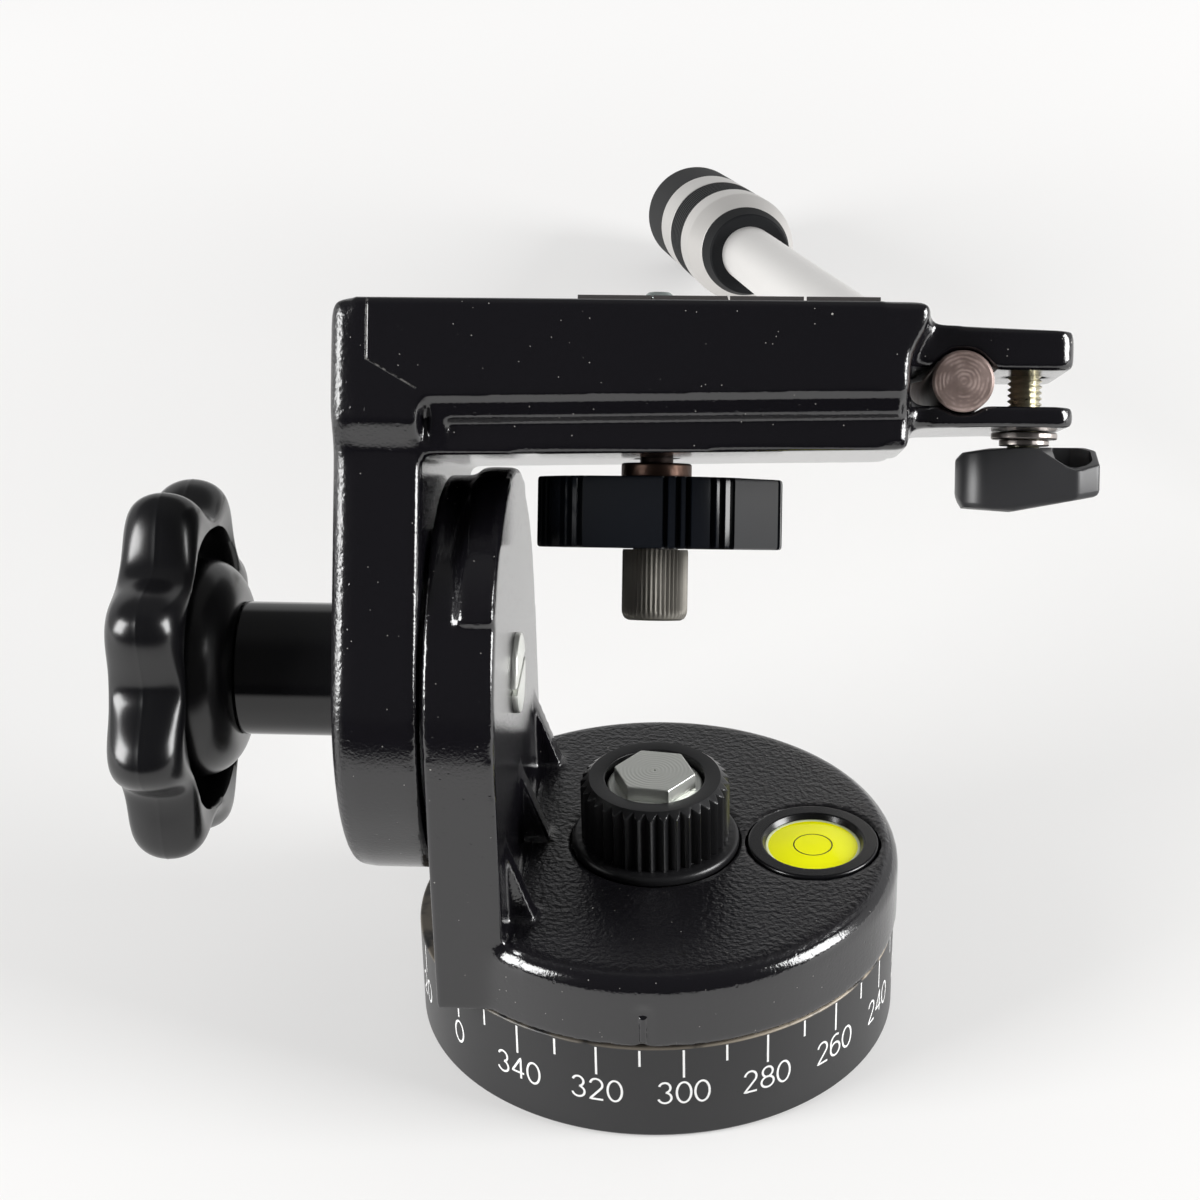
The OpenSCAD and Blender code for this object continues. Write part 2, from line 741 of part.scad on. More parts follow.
// The slab and its rib, with the underside rising to the right about the camera screw
module slab() {
    translate([0, 0, under_n]) rotate([0, -slab_draft, 0]) translate([arm_in - 1, 0, -under_n]) along_x()
        linear_extrude(slab_x - arm_in + 3) slab_section();
}

// Cuts the slab's right end to its curve, from y0 to y1
module end_cut(under, y0, y1) {
    end_n = platform_n - 3;
    translate([0, y1, 0]) rotate([90, 0, 0]) linear_extrude(y1 - y0) polygon([[slab_x, platform_n + 1],
        [slab_x, end_n], [slab_x - under * 0.4, end_n - 2.5], [slab_x - under * 0.85, end_n - 5],
        [slab_x - under, end_n - 7.5], [slab_x - under, 0], [slab_x + cut_reach, 0],
        [slab_x + cut_reach, platform_n + 1]]);
}

// Section of the arm with its end block
module arm_section() {
    block_n = slab_n - block_drop;
    circle(d = arm_w);
    polygon([[-arm_w / 2, 0], [arm_w / 2, 0], [arm_w / 2, block_n - shoulder_h], [slab_w / 2, block_n],
        [slab_w / 2, platform_n], [-slab_w / 2, platform_n], [-slab_w / 2, block_n],
        [-arm_w / 2, block_n - shoulder_h]]);
}

// The two ears with the slot between them, seen from the front
module ears() {
    root = slab_x - slab_under - 3;
    intersection() {
        translate([0, ear_back, 0]) rotate([90, 0, 0]) linear_extrude(ear_front + ear_back) {
            polygon([[root, slot_top], [ear_x, slot_top], [ear_x, upper_top - 0.8], [root, upper_top + 0.4]]);
            polygon([[root, ear_under - 0.6], [clamp_x - ear_land, ear_under], [ear_x, ear_under],
                [ear_x, slot_bottom], [root, slot_bottom]]);
        }
        linear_extrude(through) rounded_box(0, -ear_front, ear_x, ear_back, ear_round);
    }
}

module platform_arm() {
    color([0.06, 0.06, 0.065]) tipped() difference() {
        union() {
            translate([arm_out, 0, 0]) along_x() linear_extrude(arm_t) arm_section();
            slab();
            ears();
        }
        end_cut(slab_under, -slab_w, slab_w);
        end_cut(slab_relief, ear_back, slab_w);
        translate([-through / 2, -through / 2, platform_n]) cube(through);
        ear_gap();
        translate([rod_x, slab_w, rod_n]) rotate([90, 0, 0]) cylinder(d = rod_d + 2 * rod_clear, h = 2 * slab_w);
        translate([clamp_x, clamp_y, 0]) cylinder(d = clamp_d + 2 * hole_clear, h = slot_top);
        translate([clamp_x, clamp_y, 0]) cylinder(d = clamp_d + 2 * run_clear, h = through);
        cylinder(d = camera_d + 2 * hole_clear, h = through);
        rotate([0, 90, 0]) translate([0, 0, -through / 2])
            cylinder(d = arm_bush_d + 2 * seat_clear, h = through / 2);
    }
    color([0.06, 0.06, 0.065]) tipped() difference() {
        ears();
        ear_gap();
        translate([rod_x, slab_w, rod_n]) rotate([90, 0, 0]) cylinder(d = rod_d + 2 * rod_clear, h = 2 * slab_w);
        translate([clamp_x, clamp_y, 0]) cylinder(d = clamp_d + 2 * hole_clear, h = slot_top);
        translate([clamp_x, clamp_y, 0]) cylinder(d = clamp_d + 2 * run_clear, h = through);
    }
}

// The slot that lets the ears close on the rod
module ear_gap() {
    translate([slab_x - slab_under + 0.6, -slab_w, slot_bottom]) cube([through, 2 * slab_w, ear_slot]);
}

module arm_bush() {
    color([0.72, 0.52, 0.25]) tipped() rotate([0, 90, 0])
        ring(arm_out + 0.2, arm_t - 0.4, arm_bush_d, shaft_d + 2 * run_clear);
}

module brake_rotor() {
    color([0.6, 0.6, 0.6]) tipped() rotate([0, 90, 0])
        ring(arm_in, rotor_t, brake_d - 2, arm_bush_d + 1);
}

module platform_pads() {
    pitch = pad_w + pad_gap;
    from = slab_x - pad_end - pad_bars * pitch;
    color([0.09, 0.085, 0.085]) tipped() difference() {
        for (k = [0:pad_bars - 1]) translate([from + k * pitch, -pad_l / 2, platform_n]) cube([pad_w, pad_l, pad_t]);
        cylinder(d = camera_d + 2 * pad_hole_margin, h = through);
    }
}

// Camera screw and its lock knob

module camera_screw() {
    tip_chamfer = 0.8;
    color([0.55, 0.53, 0.48]) tipped() {
        translate([0, 0, finger_n]) cylinder(d = finger_d, h = finger_l);
        translate([0, 0, finger_n]) cylinder(d = camera_shank_d, h = lock_washer_n - finger_n);
        translate([0, 0, finger_n]) cylinder(d = camera_neck_d, h = platform_n - finger_n + eps);
        translate([0, 0, platform_n]) cylinder(d = camera_d, h = camera_rise - tip_chamfer);
        translate([0, 0, screw_tip - tip_chamfer])
            cylinder(d1 = camera_d, d2 = camera_d - 2 * tip_chamfer, h = tip_chamfer);
    }
}

module lock_washer() {
    color([0.5, 0.33, 0.25]) tipped() ring(lock_washer_n, lock_washer_t, lock_washer_d, camera_shank_d + 2 * hole_clear);
}

module lock_knob() {
    groups = 5;
    first_rib = -66.6;
    grooves = [-15.8, -10.3, -5.7, 5.7, 10.3, 15.8];
    groove_r = 0.9;
    color([0.05, 0.05, 0.055]) tipped() difference() {
        translate([0, 0, lock_n]) cylinder(d = lock_d, h = lock_h);
        translate([0, 0, lock_n - eps]) cylinder(d = camera_shank_d + 2 * run_clear, h = through);
        for (g = [0:groups - 1], turn = grooves) rotate(first_rib + g * 360 / groups + turn)
            translate([lock_d / 2 + groove_r / 3, 0, lock_n - eps]) cylinder(r = groove_r, h = through, $fn = 24);
    }
}

// Handle clamp

module clamp_washer() {
    color([0.75, 0.75, 0.75]) tipped() translate([clamp_x, clamp_y, 0])
        ring(clamp_washer_n, clamp_washer_t, clamp_washer_d, clamp_d + 2 * hole_clear);
}

module clamp_screw() {
    color([0.7, 0.65, 0.42]) tipped() translate([clamp_x, clamp_y, lever_n + lever_h / 2])
        cylinder(d = clamp_d, h = clamp_tip - lever_n - lever_h / 2);
}

module lever_collar() {
    color([0.7, 0.7, 0.7]) tipped() translate([clamp_x, clamp_y, 0])
        ring(collar_n, collar_t - face_gap / 2, collar_d, clamp_d + 2 * seat_clear);
}

module clamp_lever() {
    left = -lever_l * 0.48;
    right = lever_l * 0.52;
    low = lever_n;
    top = lever_n + lever_h;
    color([0.05, 0.05, 0.055]) tipped() translate([clamp_x, clamp_y, 0]) difference() {
        union() {
            translate([0, lever_w / 2, 0]) rotate([90, 0, 0]) linear_extrude(lever_w) polygon([[left, low + 2.2],
                [left + 1, low + 0.5], [0, low], [right - 3, low + 2.4], [right, low + 3], [right, top - 3],
                [right - 4, top - 2.6], [lever_l * 0.14, top - 0.2], [left + 6, top - 0.4], [left + 1, top - 1.4]]);
            translate([0, 0, low + 0.4]) cylinder(d = lever_w + 1.4, h = lever_h - 0.6);
        }
        translate([0, 0, lever_n + lever_h / 2]) cylinder(d = clamp_d + 2 * seat_clear, h = through);
        translate([lever_w / 2 + 2, -lever_w / 2 + 2, low + 5]) cube([right - lever_w / 2 - 3.6, lever_w - 4, through]);
    }
}

// Pan bar, from the clamp to the grip

// Moves to the bend's start in the arm's frame, with the bend rolled about the rod
module at_bend() {
    tipped() translate([rod_x, bend_y - bend_l, rod_n]) rotate([0, bend_roll, 0]) children();
}

// Moves to the bend's end, with +Z along the straight part of the bar
module along_bar() {
    at_bend() translate([0, bend_r * sin(bend_a), bend_r * (1 - cos(bend_a))]) rotate([bend_a - 90, 0, 0])
        children();
}

module bar_rod() {
    front = ear_front + 0.5 + bend_y - bend_l;
    color([0.55, 0.5, 0.47]) {
        at_bend() rotate([90, 0, 0]) cylinder(d = rod_d, h = front);
        at_bend() translate([0, 0, bend_r]) rotate([0, 90, 0])
            rotate_extrude(angle = bend_a) translate([bend_r, 0]) circle(d = rod_d);
        along_bar() cylinder(d = rod_d, h = tail_end);
    }
}

module bar_plug() {
    color([0.06, 0.06, 0.06]) along_bar() difference() {
        union() {
            translate([0, 0, rod_tail - 3]) cylinder(d = tube_d, h = 3);
            translate([0, 0, rod_tail - eps]) cylinder(d = tube_d - 2 * (tube_wall + run_clear), h = rod_grip + 3);
        }
        translate([0, 0, rod_tail - 4]) cylinder(d = rod_d + 2 * seat_clear, h = rod_grip + 4 + seat_clear);
    }
}

module bar_tube() {
    color([0.72, 0.72, 0.72]) along_bar() ring(rod_tail, cap_from - rod_tail, tube_d, tube_d - 2 * tube_wall);
}

module grip_bore() {
    translate([0, 0, -through]) cylinder(d = tube_d + 2 * seat_clear, h = through + cap_from);
}

module grip_ring() {
    color([0.05, 0.05, 0.055]) along_bar() difference() {
        translate([0, 0, grip_start - ring_l]) cylinder(d1 = ring_d - 2, d2 = ring_d, h = ring_l);
        grip_bore();
    }
}

module grip_band_front() {
    color([0.7, 0.7, 0.7]) along_bar() difference() {
        translate([0, 0, grip_start]) {
            cylinder(d1 = ring_d + 0.6, d2 = grip_d, h = band_front_l * 0.4);
            translate([0, 0, band_front_l * 0.4]) cylinder(d = grip_d, h = band_front_l * 0.6);
        }
        grip_bore();
    }
}

module grip_sleeve() {
    grooves = 7;
    step = ribbed_l / (grooves + 1);
    color([0.07, 0.07, 0.075]) along_bar() difference() {
        translate([0, 0, grip_start + band_front_l]) difference() {
            cylinder(d = grip_d, h = ribbed_l);
            for (k = [1:grooves]) translate([0, 0, k * step - 0.5]) difference() {
                cylinder(d = grip_d + 1, h = 1);
                translate([0, 0, -eps]) cylinder(d = grip_d - 1.4, h = 1 + 2 * eps);
            }
        }
        grip_bore();
    }
}

module grip_band_rear() {
    color([0.7, 0.7, 0.7]) along_bar() difference() {
        translate([0, 0, grip_start + band_front_l + ribbed_l]) cylinder(d = grip_d, h = band_rear_l);
        grip_bore();
    }
}

module grip_cap() {
    round = 4;
    color([0.05, 0.05, 0.055]) along_bar() translate([0, 0, cap_from]) {
        cylinder(d = grip_d, h = cap_l - round);
        cylinder(d = grip_d - 2 * round, h = cap_l);
        translate([0, 0, cap_l - round]) rotate_extrude() translate([grip_d / 2 - round, 0]) intersection() {
            circle(r = round);
            square(round);
        }
    }
}

scale_base();
tripod_bush();
pan_spindle();
thrust_washer();
damper_stator();
bolt_washer();
centre_bolt();
pan_housing();
pan_bush();
damper_rotor();
pan_seal();
friction_washer();
level_ring();
level_vial();
level_fluid();
tilt_shaft();
brake_plate();
brake_disc();
pressure_ring();
pan_knob();
tilt_sleeve();
star_knob();
knob_insert();
platform_arm();
arm_bush();
brake_rotor();
platform_pads();
camera_screw();
lock_washer();
lock_knob();
clamp_washer();
clamp_screw();
lever_collar();
clamp_lever();
bar_rod();
bar_plug();
bar_tube();
grip_ring();
grip_band_front();
grip_sleeve();
grip_band_rear();
grip_cap();
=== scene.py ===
import json
import math
import bmesh
import bpy
import numpy as np
from mathutils import Matrix, Vector


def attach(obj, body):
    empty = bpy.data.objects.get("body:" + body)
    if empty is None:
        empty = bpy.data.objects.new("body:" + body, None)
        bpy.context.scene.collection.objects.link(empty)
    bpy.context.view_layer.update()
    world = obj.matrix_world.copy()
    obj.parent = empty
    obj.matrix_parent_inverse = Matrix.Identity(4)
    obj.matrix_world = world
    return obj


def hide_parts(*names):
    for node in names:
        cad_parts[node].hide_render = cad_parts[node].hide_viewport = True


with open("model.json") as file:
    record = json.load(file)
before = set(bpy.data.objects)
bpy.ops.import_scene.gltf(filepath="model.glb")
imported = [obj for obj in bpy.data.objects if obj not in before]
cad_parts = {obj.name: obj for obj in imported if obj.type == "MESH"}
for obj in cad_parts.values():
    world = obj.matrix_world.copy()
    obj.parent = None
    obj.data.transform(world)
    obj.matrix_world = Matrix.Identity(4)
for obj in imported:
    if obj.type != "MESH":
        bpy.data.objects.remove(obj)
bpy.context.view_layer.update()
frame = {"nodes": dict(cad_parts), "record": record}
nodes = frame["nodes"]
print("frame loaded")

# frames of the part in millimetres: a turn matrix and an origin, as the CAD has them
tiltRest = math.radians(26.8)
axisHeight = 68.4


def turnX(a):
    c, s = math.cos(a), math.sin(a)
    return np.array([[1, 0, 0], [0, c, -s], [0, s, c]])


def turnY(a):
    c, s = math.cos(a), math.sin(a)
    return np.array([[c, 0, s], [0, 1, 0], [-s, 0, c]])


base = (np.eye(3), np.zeros(3))
arm = (turnX(-tiltRest), np.array([0, 0, axisHeight]))
# local +Z runs out along -X, from the arm to the tilt knob
knobAxis = (np.array([[0, 0, -1.0], [-1.0, 0, 0], [0, 1.0, 0]]), np.array([0, 0, axisHeight]))


def inFrame(outer, turn, origin):
    return (outer[0] @ turn, outer[0] @ np.array(origin, float) + outer[1])


bar = {"x": 52.2, "n": 51.1, "bend": 26.0, "radius": 30.0,
       "angle": math.radians(15.8), "roll": math.radians(-39.6)}
bendLead = bar["radius"] * math.tan(bar["angle"] / 2)
atBend = inFrame(arm, turnY(bar["roll"]), [bar["x"], bar["bend"] - bendLead, bar["n"]])
barAxis = inFrame(atBend, turnX(bar["angle"] - math.pi / 2),
                  [0, bar["radius"] * math.sin(bar["angle"]), bar["radius"] * (1 - math.cos(bar["angle"]))])


def placed(points, where):
    return (np.asarray(points, float) @ where[0].T + where[1]) * 0.001


# a grid of points, rows along the first index, and its faces
def grid(points, closeRows=False, closeCols=False):
    points = np.asarray(points, float)
    rows, cols = points.shape[:2]
    i = np.arange(rows if closeRows else rows - 1)[:, None]
    j = np.arange(cols if closeCols else cols - 1)[None, :]
    i2, j2 = (i + 1) % rows, (j + 1) % cols
    faces = np.stack([i * cols + j, i * cols + j2, i2 * cols + j2, i2 * cols + j], -1)
    return points.reshape(-1, 3), faces.reshape(-1, 4)


# rows of closed rings
def loft(rows, closed=False):
    return grid(rows, closeRows=closed, closeCols=True)


def joined(*parts):
    verts, faces, count = [], [], 0
    for v, f in parts:
        verts.append(v)
        faces.append(f + count)
        count += len(v)
    return np.concatenate(verts), np.concatenate(faces)


# a polyline whose corners are arcs: each corner is cut back by r / tan(half angle) and swept between tangents
def rounded(points, radius, steps, closed=False):
    p = np.asarray(points, float)
    r = np.broadcast_to(np.asarray(radius, float), len(p))
    out = []
    for k in range(len(p)):
        if not closed and k in (0, len(p) - 1) or r[k] <= 0:
            out.append(p[k])
            continue
        a, b = p[k - 1] - p[k], p[(k + 1) % len(p)] - p[k]
        la, lb = np.linalg.norm(a), np.linalg.norm(b)
        a, b = a / la, b / lb
        half = math.acos(np.clip(a @ b, -1, 1)) / 2
        if half > math.pi / 2 - 0.01:
            out.append(p[k])
            continue
        cut = min(r[k] / math.tan(half), la * 0.49, lb * 0.49)
        rr = cut * math.tan(half)
        centre = p[k] + (a + b) / np.linalg.norm(a + b) * rr / math.sin(half)
        u, w = p[k] + a * cut - centre, p[k] + b * cut - centre
        sweep = math.pi - 2 * half
        t = np.linspace(0, 1, steps + 1)[:, None]
        out.extend(centre + (u * np.sin((1 - t) * sweep) + w * np.sin(t * sweep)) / math.sin(sweep))
    return np.array(out)


# a profile with points added near the ends of its long runs, so that smooth shading stays even
def held(profile, closed, gap=0.12):
    p = np.asarray(profile, float)
    q = np.roll(p, -1, axis=0)
    size = np.linalg.norm(q - p, axis=1)
    lead = np.where(size > 4 * gap, gap / np.maximum(size, gap), 0)[:, None]
    rows = np.stack([p, p + (q - p) * lead, q - (q - p) * lead], 1)
    rows = rows.reshape(-1, 2) if closed else rows.reshape(-1, 2)[:-2]
    return rows[np.r_[True, np.linalg.norm(np.diff(rows, axis=0), axis=1) > 1e-6]]


def turns(count):
    return np.linspace(0, 2 * np.pi, count, endpoint=False)


# surface of revolution about local Z: profile rows are radius and height
def lathe(profile, count, closed=False):
    a = turns(count)
    r, h = held(profile, closed).T[..., None]
    pts = np.stack([r * np.cos(a), r * np.sin(a), np.broadcast_to(h, (len(h), count))], -1)
    return loft(pts, closed)


# a plain ring with round edges
def plainRing(inner, outer, low, high, radius, steps=4, count=96):
    profile = [[inner, low], [outer, low], [outer, high], [inner, high]]
    return lathe(rounded(profile, radius, steps, True), count, True)


# a ring of points about local Z, whose radius and height may follow the angle
def ringAt(radius, angles, height):
    level = np.broadcast_to(height, angles.shape)
    return np.stack([radius * np.cos(angles), radius * np.sin(angles), level], -1)


# flat points raised to a height, or each to its own
def atHeight(points, height):
    return np.concatenate([points, np.broadcast_to(height, (len(points),))[:, None]], 1)


# 0 below low, 1 above high and an S curve between them
def smooth(x, low, high):
    t = np.clip((x - low) / (high - low), 0, 1)
    return t * t * (3 - 2 * t)


def enter(name, mesh, body, slot, stands, finish=None):
    mesh.materials.append(paint[finish or slot])
    piece = bpy.data.objects.new(name, mesh)
    bpy.context.scene.collection.objects.link(piece)
    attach(piece, body)
    if stands:
        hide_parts(*stands)


def makePiece(name, shape, where, body, slot, stands=(), smoothAngle=38, finish=None):
    verts, faces = shape
    mesh = bpy.data.meshes.new(name)
    mesh.from_pydata(placed(verts, where).tolist(), [], faces.tolist())
    work = bmesh.new()
    work.from_mesh(mesh)
    bmesh.ops.remove_doubles(work, verts=work.verts, dist=2e-6)
    bmesh.ops.dissolve_degenerate(work, edges=work.edges, dist=1e-6)
    bmesh.ops.recalc_face_normals(work, faces=work.faces)
    work.to_mesh(mesh)
    work.free()
    mesh.shade_smooth()
    mesh.set_sharp_from_angle(angle=math.radians(smoothAngle))
    enter(name, mesh, body, slot, stands, finish)


# each point moves towards the mean of its neighbours, by a share, a number of times
def relaxed(co, edges, share, rounds):
    i = np.concatenate([edges[:, 0], edges[:, 1]])
    j = np.concatenate([edges[:, 1], edges[:, 0]])
    count = np.bincount(i, minlength=len(co))[:, None]
    for _ in range(rounds):
        mean = np.stack([np.bincount(i, co[j, k], len(co)) for k in range(3)], -1) / count
        co = co + share * (mean - co)
    return co


# a mesh's points in millimetres and its edges
def meshArrays(mesh):
    co = np.zeros(len(mesh.vertices) * 3)
    mesh.vertices.foreach_get("co", co)
    edges = np.zeros(len(mesh.edges) * 2, int)
    mesh.edges.foreach_get("vertices", edges)
    return co.reshape(-1, 3) * 1000, edges.reshape(-1, 2)


def inBox(co, low, high):
    return ((co > low) & (co < high)).all(axis=1)


# shares and rounds of the castings' relaxing; crisp boxes get the first rounds only
relax = {"share": 0.5, "first": 2, "fineShare": 0.35, "fineRounds": 3}


# a casting: the CAD mesh in its own upright frame, made into even cells and relaxed, so its edges are round;
# crisp boxes get few rounds and fillet boxes more, and a finer box has its cells cut before it is reshaped
def castPiece(name, node, where, body, settings, reshape):
    source = nodes[node].data.copy()
    co = np.zeros(len(source.vertices) * 3)
    source.vertices.foreach_get("co", co)
    source.vertices.foreach_set("co", ((co.reshape(-1, 3) - where[1] * 0.001) @ where[0]).ravel())
    work = bmesh.new()
    work.from_mesh(source)
    bmesh.ops.remove_doubles(work, verts=work.verts, dist=1e-6)
    work.to_mesh(source)
    work.free()
    helper = bpy.data.objects.new(name + "Source", source)
    bpy.context.scene.collection.objects.link(helper)
    cells = helper.modifiers.new("cells", "REMESH")
    cells.mode, cells.voxel_size, cells.adaptivity = "VOXEL", settings["cell"] * 0.001, 0.0
    bpy.context.view_layer.update()
    done = bpy.data.meshes.new_from_object(helper.evaluated_get(bpy.context.evaluated_depsgraph_get()))
    bpy.data.objects.remove(helper)
    co, edges = meshArrays(done)
    loose = np.ones((len(co), 1))
    for low, high in settings["crisp"]:
        loose[inBox(co, low, high)] = 0
    co = relaxed(co, edges, relax["share"], relax["first"])
    co = relaxed(co, edges, relax["share"] * loose, settings["rounds"] - relax["first"])
    for low, high, more in settings["fillets"]:
        co = relaxed(co, edges, relax["share"] * inBox(co, low, high)[:, None], more)
    done.vertices.foreach_set("co", (co * 0.001).ravel())
    inside = inBox(co, *settings["finer"])
    work = bmesh.new()
    work.from_mesh(done)
    work.edges.ensure_lookup_table()
    picked = [work.edges[k] for k in np.nonzero(inside[edges].all(axis=1))[0]]
    bmesh.ops.subdivide_edges(work, edges=picked, cuts=settings["cuts"], use_grid_fill=True)
    work.to_mesh(done)
    work.free()
    co, edges = meshArrays(done)
    co = reshape(co)
    co = relaxed(co, edges, relax["fineShare"] * inBox(co, *settings["finer"])[:, None], relax["fineRounds"])
    done.vertices.foreach_set("co", placed(co, where).ravel())
    done.update()
    done.name = name
    done.shade_smooth()
    done.materials.clear()
    enter(name, done, body, "stove_enamel", [node])


# one socket of a shader tree, with arithmetic on it
class Wire:
    def __init__(self, tree, socket):
        self.tree, self.socket = tree, socket

    # a new node: settings by name, then sockets as i0, i1 and so on
    def use(self, kind, out=0, **values):
        node = self.tree.nodes.new(kind)
        for key, value in values.items():
            if key[0] == "i" and key[1:].isdigit():
                self.feed(node.inputs[int(key[1:])], value)
            else:
                setattr(node, key, value)
        return Wire(self.tree, node.outputs[out])

    def feed(self, target, value):
        if isinstance(value, Wire):
            self.tree.links.new(value.socket, target)
        else:
            target.default_value = value

    def op(self, kind, first, second=0.0, clamp=False):
        return self.use("ShaderNodeMath", operation=kind, use_clamp=clamp, i0=first, i1=second)

    def __add__(self, other):
        return self.op("ADD", self, other)

    def __radd__(self, other):
        return self.op("ADD", other, self)

    def __sub__(self, other):
        return self.op("SUBTRACT", self, other)

    def __rsub__(self, other):
        return self.op("SUBTRACT", other, self)

    def __mul__(self, other):
        return self.op("MULTIPLY", self, other)

    def __rmul__(self, other):
        return self.op("MULTIPLY", other, self)

    def step(self, low, high):
        return self.use("ShaderNodeMapRange", interpolation_type="SMOOTHSTEP",
                        i0=self, i1=low, i2=high, i3=0.0, i4=1.0)

    # 1 between the middle two of four values, 0 outside the outer two
    def band(self, low, rise, fall, high):
        return self.step(low, rise) * (1 - self.step(fall, high))

    def mix(self, low, high):
        return self.use("ShaderNodeMix", out=2, data_type="RGBA", i0=self, i6=(*low, 1), i7=(*high, 1))

    def xyz(self):
        return [self.use("ShaderNodeSeparateXYZ", out=k, i0=self) for k in range(3)]

    def dot(self, other):
        return self.use("ShaderNodeVectorMath", out=1, operation="DOT_PRODUCT", i0=self, i1=other)


# a material with the plain values on the shader's own sockets, its shader and a wire of object coordinates
def newMaterial(name, color, rough, metal=0.0, ior=1.5):
    m = bpy.data.materials.new(name)
    m.use_nodes = True
    m.diffuse_color = (*color, 1)
    shader = m.node_tree.nodes["Principled BSDF"]
    plain = {"Base Color": (*color, 1), "Roughness": rough, "Metallic": metal, "IOR": ior}
    for key, value in plain.items():
        shader.inputs[key].default_value = value
    coords = m.node_tree.nodes.new("ShaderNodeTexCoord")
    return m, shader, Wire(m.node_tree, coords.outputs["Object"])


def noise(at, scale, detail=2.0):
    return at.use("ShaderNodeTexNoise", i0=at, i2=scale, i3=detail)


# worn patches: 1 where the noise is over high, 0 where it is under low
def patches(at, scale, low, high, detail=2.0):
    return noise(at, scale, detail).step(low, high)


def bumped(shader, at, height, strength, distance, under=None):
    over = {"i4": under} if under else {}
    at.feed(shader.inputs["Normal"], at.use("ShaderNodeBump", i0=strength, i1=distance, i3=height, **over))


def grained(shader, at, scale, depth):
    bumped(shader, at, noise(at, scale, 3), 0.25, depth)


# sparse dust: the middles of few small cells
def dust(at, scale, size, share):
    near = at.use("ShaderNodeTexVoronoi", i0=at, i2=scale)
    pick = at.use("ShaderNodeTexVoronoi", out=1, i0=at, i2=scale)
    lucky = pick.use("ShaderNodeSeparateColor", i0=pick).step(1 - share, 1 - share + 0.004)
    return (1 - near.step(size * 0.5, size)) * lucky


# a drawn line in the arm's front plane: 1 on the straight run between two points, with wires x and n
def runMask(x, n, first, last, half):
    dx, dn = last[0] - first[0], last[1] - first[1]
    size = dx * dx + dn * dn
    share = x.op("MULTIPLY", (x - first[0]) * dx + (n - first[1]) * dn, 1 / size, clamp=True)
    offX, offN = x - first[0] - share * dx, n - first[1] - share * dn
    return 1 - x.op("SQRT", offX * offX + offN * offN).step(half * 0.3, half)


# distance along an axis and from it
def axisWires(at, centre, normal):
    off = at.use("ShaderNodeVectorMath", operation="SUBTRACT", i0=at, i1=centre)
    along = off.dot(normal)
    return along, at.op("SQRT", at.op("MAXIMUM", off.dot(off) - along * along, 0.0))


# enamel over a sand casting: fine peel everywhere, a leather wrinkle on the turret's top, lumps on the arm's
# left edge, the arm's parting line, pits and chips; dull on both tops, the left edge and in the rod's slot
cast = {"black": (0.0052, 0.0048, 0.0064), "chalk": (0.34, 0.33, 0.31), "ior": 1.75, "rough": 0.13,
        "peel": (1900, 0.2), "leather": (1000, 1.3), "lumps": (1300, 0.9), "pits": 0.1,
        "grain": (0.4, 0.0005), "pitCells": (520, 0.2, 0.85),
        "chipCells": ((600, 0.07, 0.55), (150, 0.033, 0.8)),
        "topRough": 0.17, "chipRough": 0.3, "slotRough": 0.6, "edgeRough": 0.2, "deckRough": 0.22,
        "topZ": (0.0332, 0.0338, 0.0345, 0.035), "topX": (-0.0235, -0.022), "deck": (0.0631, 0.0634),
        "leftEdge": (-0.0512, -0.0494), "front": (-0.0372, -0.0366),
        "slotX": (0.0435, 0.044, 0.0575, 0.058), "slotN": (0.0466, 0.047, 0.0532, 0.0536),
        "parting": ((-0.0461, 0.0660), (-0.0461, 0.0533), (-0.0379, 0.0486)),
        "seam": (0.00024, 0.0002), "seamTint": 0.35, "seamWear": (900, 0.4, 0.6), "seamBump": (0.2, 0.0012)}


def enamel():
    m, shader, at = newMaterial("enamel", cast["black"], cast["rough"], ior=cast["ior"])
    x, y, z = at.xyz()
    up = z - axisHeight * 0.001
    c, s = math.cos(tiltRest), math.sin(tiltRest)
    n, run = y * s + up * c, y * c - up * s
    top = z.band(*cast["topZ"]) * x.step(*cast["topX"])
    deck = n.step(*cast["deck"])
    edge = 1 - x.step(*cast["leftEdge"])
    slot = x.band(*cast["slotX"]) * n.band(*cast["slotN"])
    first, second, third = cast["parting"]
    upright = runMask(x, n, first, second, cast["seam"][0])
    slant = runMask(x, n, second, third, cast["seam"][1])
    seam = at.op("MAXIMUM", upright, slant) * (1 - run.step(*cast["front"]))
    peel, leather, lumps = cast["peel"], cast["leather"], cast["lumps"]
    height = noise(at, peel[0]) * peel[1] + noise(at, leather[0]) * (top * leather[1])
    height = height + noise(at, lumps[0], 1) * edge * lumps[1] - dust(at, *cast["pitCells"]) * cast["pits"]
    grain = at.use("ShaderNodeBump", i0=cast["grain"][0], i1=cast["grain"][1], i3=height)
    rise, depth = cast["seamBump"]
    bumped(shader, at, seam * rise, 1.0, depth, grain)
    chips = at.op("MAXIMUM", *(dust(at, *cells) for cells in cast["chipCells"]))
    tint = at.op("MAXIMUM", chips, seam * patches(at, *cast["seamWear"]) * cast["seamTint"])
    at.feed(shader.inputs["Base Color"], tint.mix(cast["black"], cast["chalk"]))
    dull = top * cast["topRough"] + tint * cast["chipRough"] + slot * cast["slotRough"]
    dull = dull + edge * cast["edgeRough"] + deck * cast["deckRough"]
    at.feed(shader.inputs["Roughness"], cast["rough"] + dull)
    return m


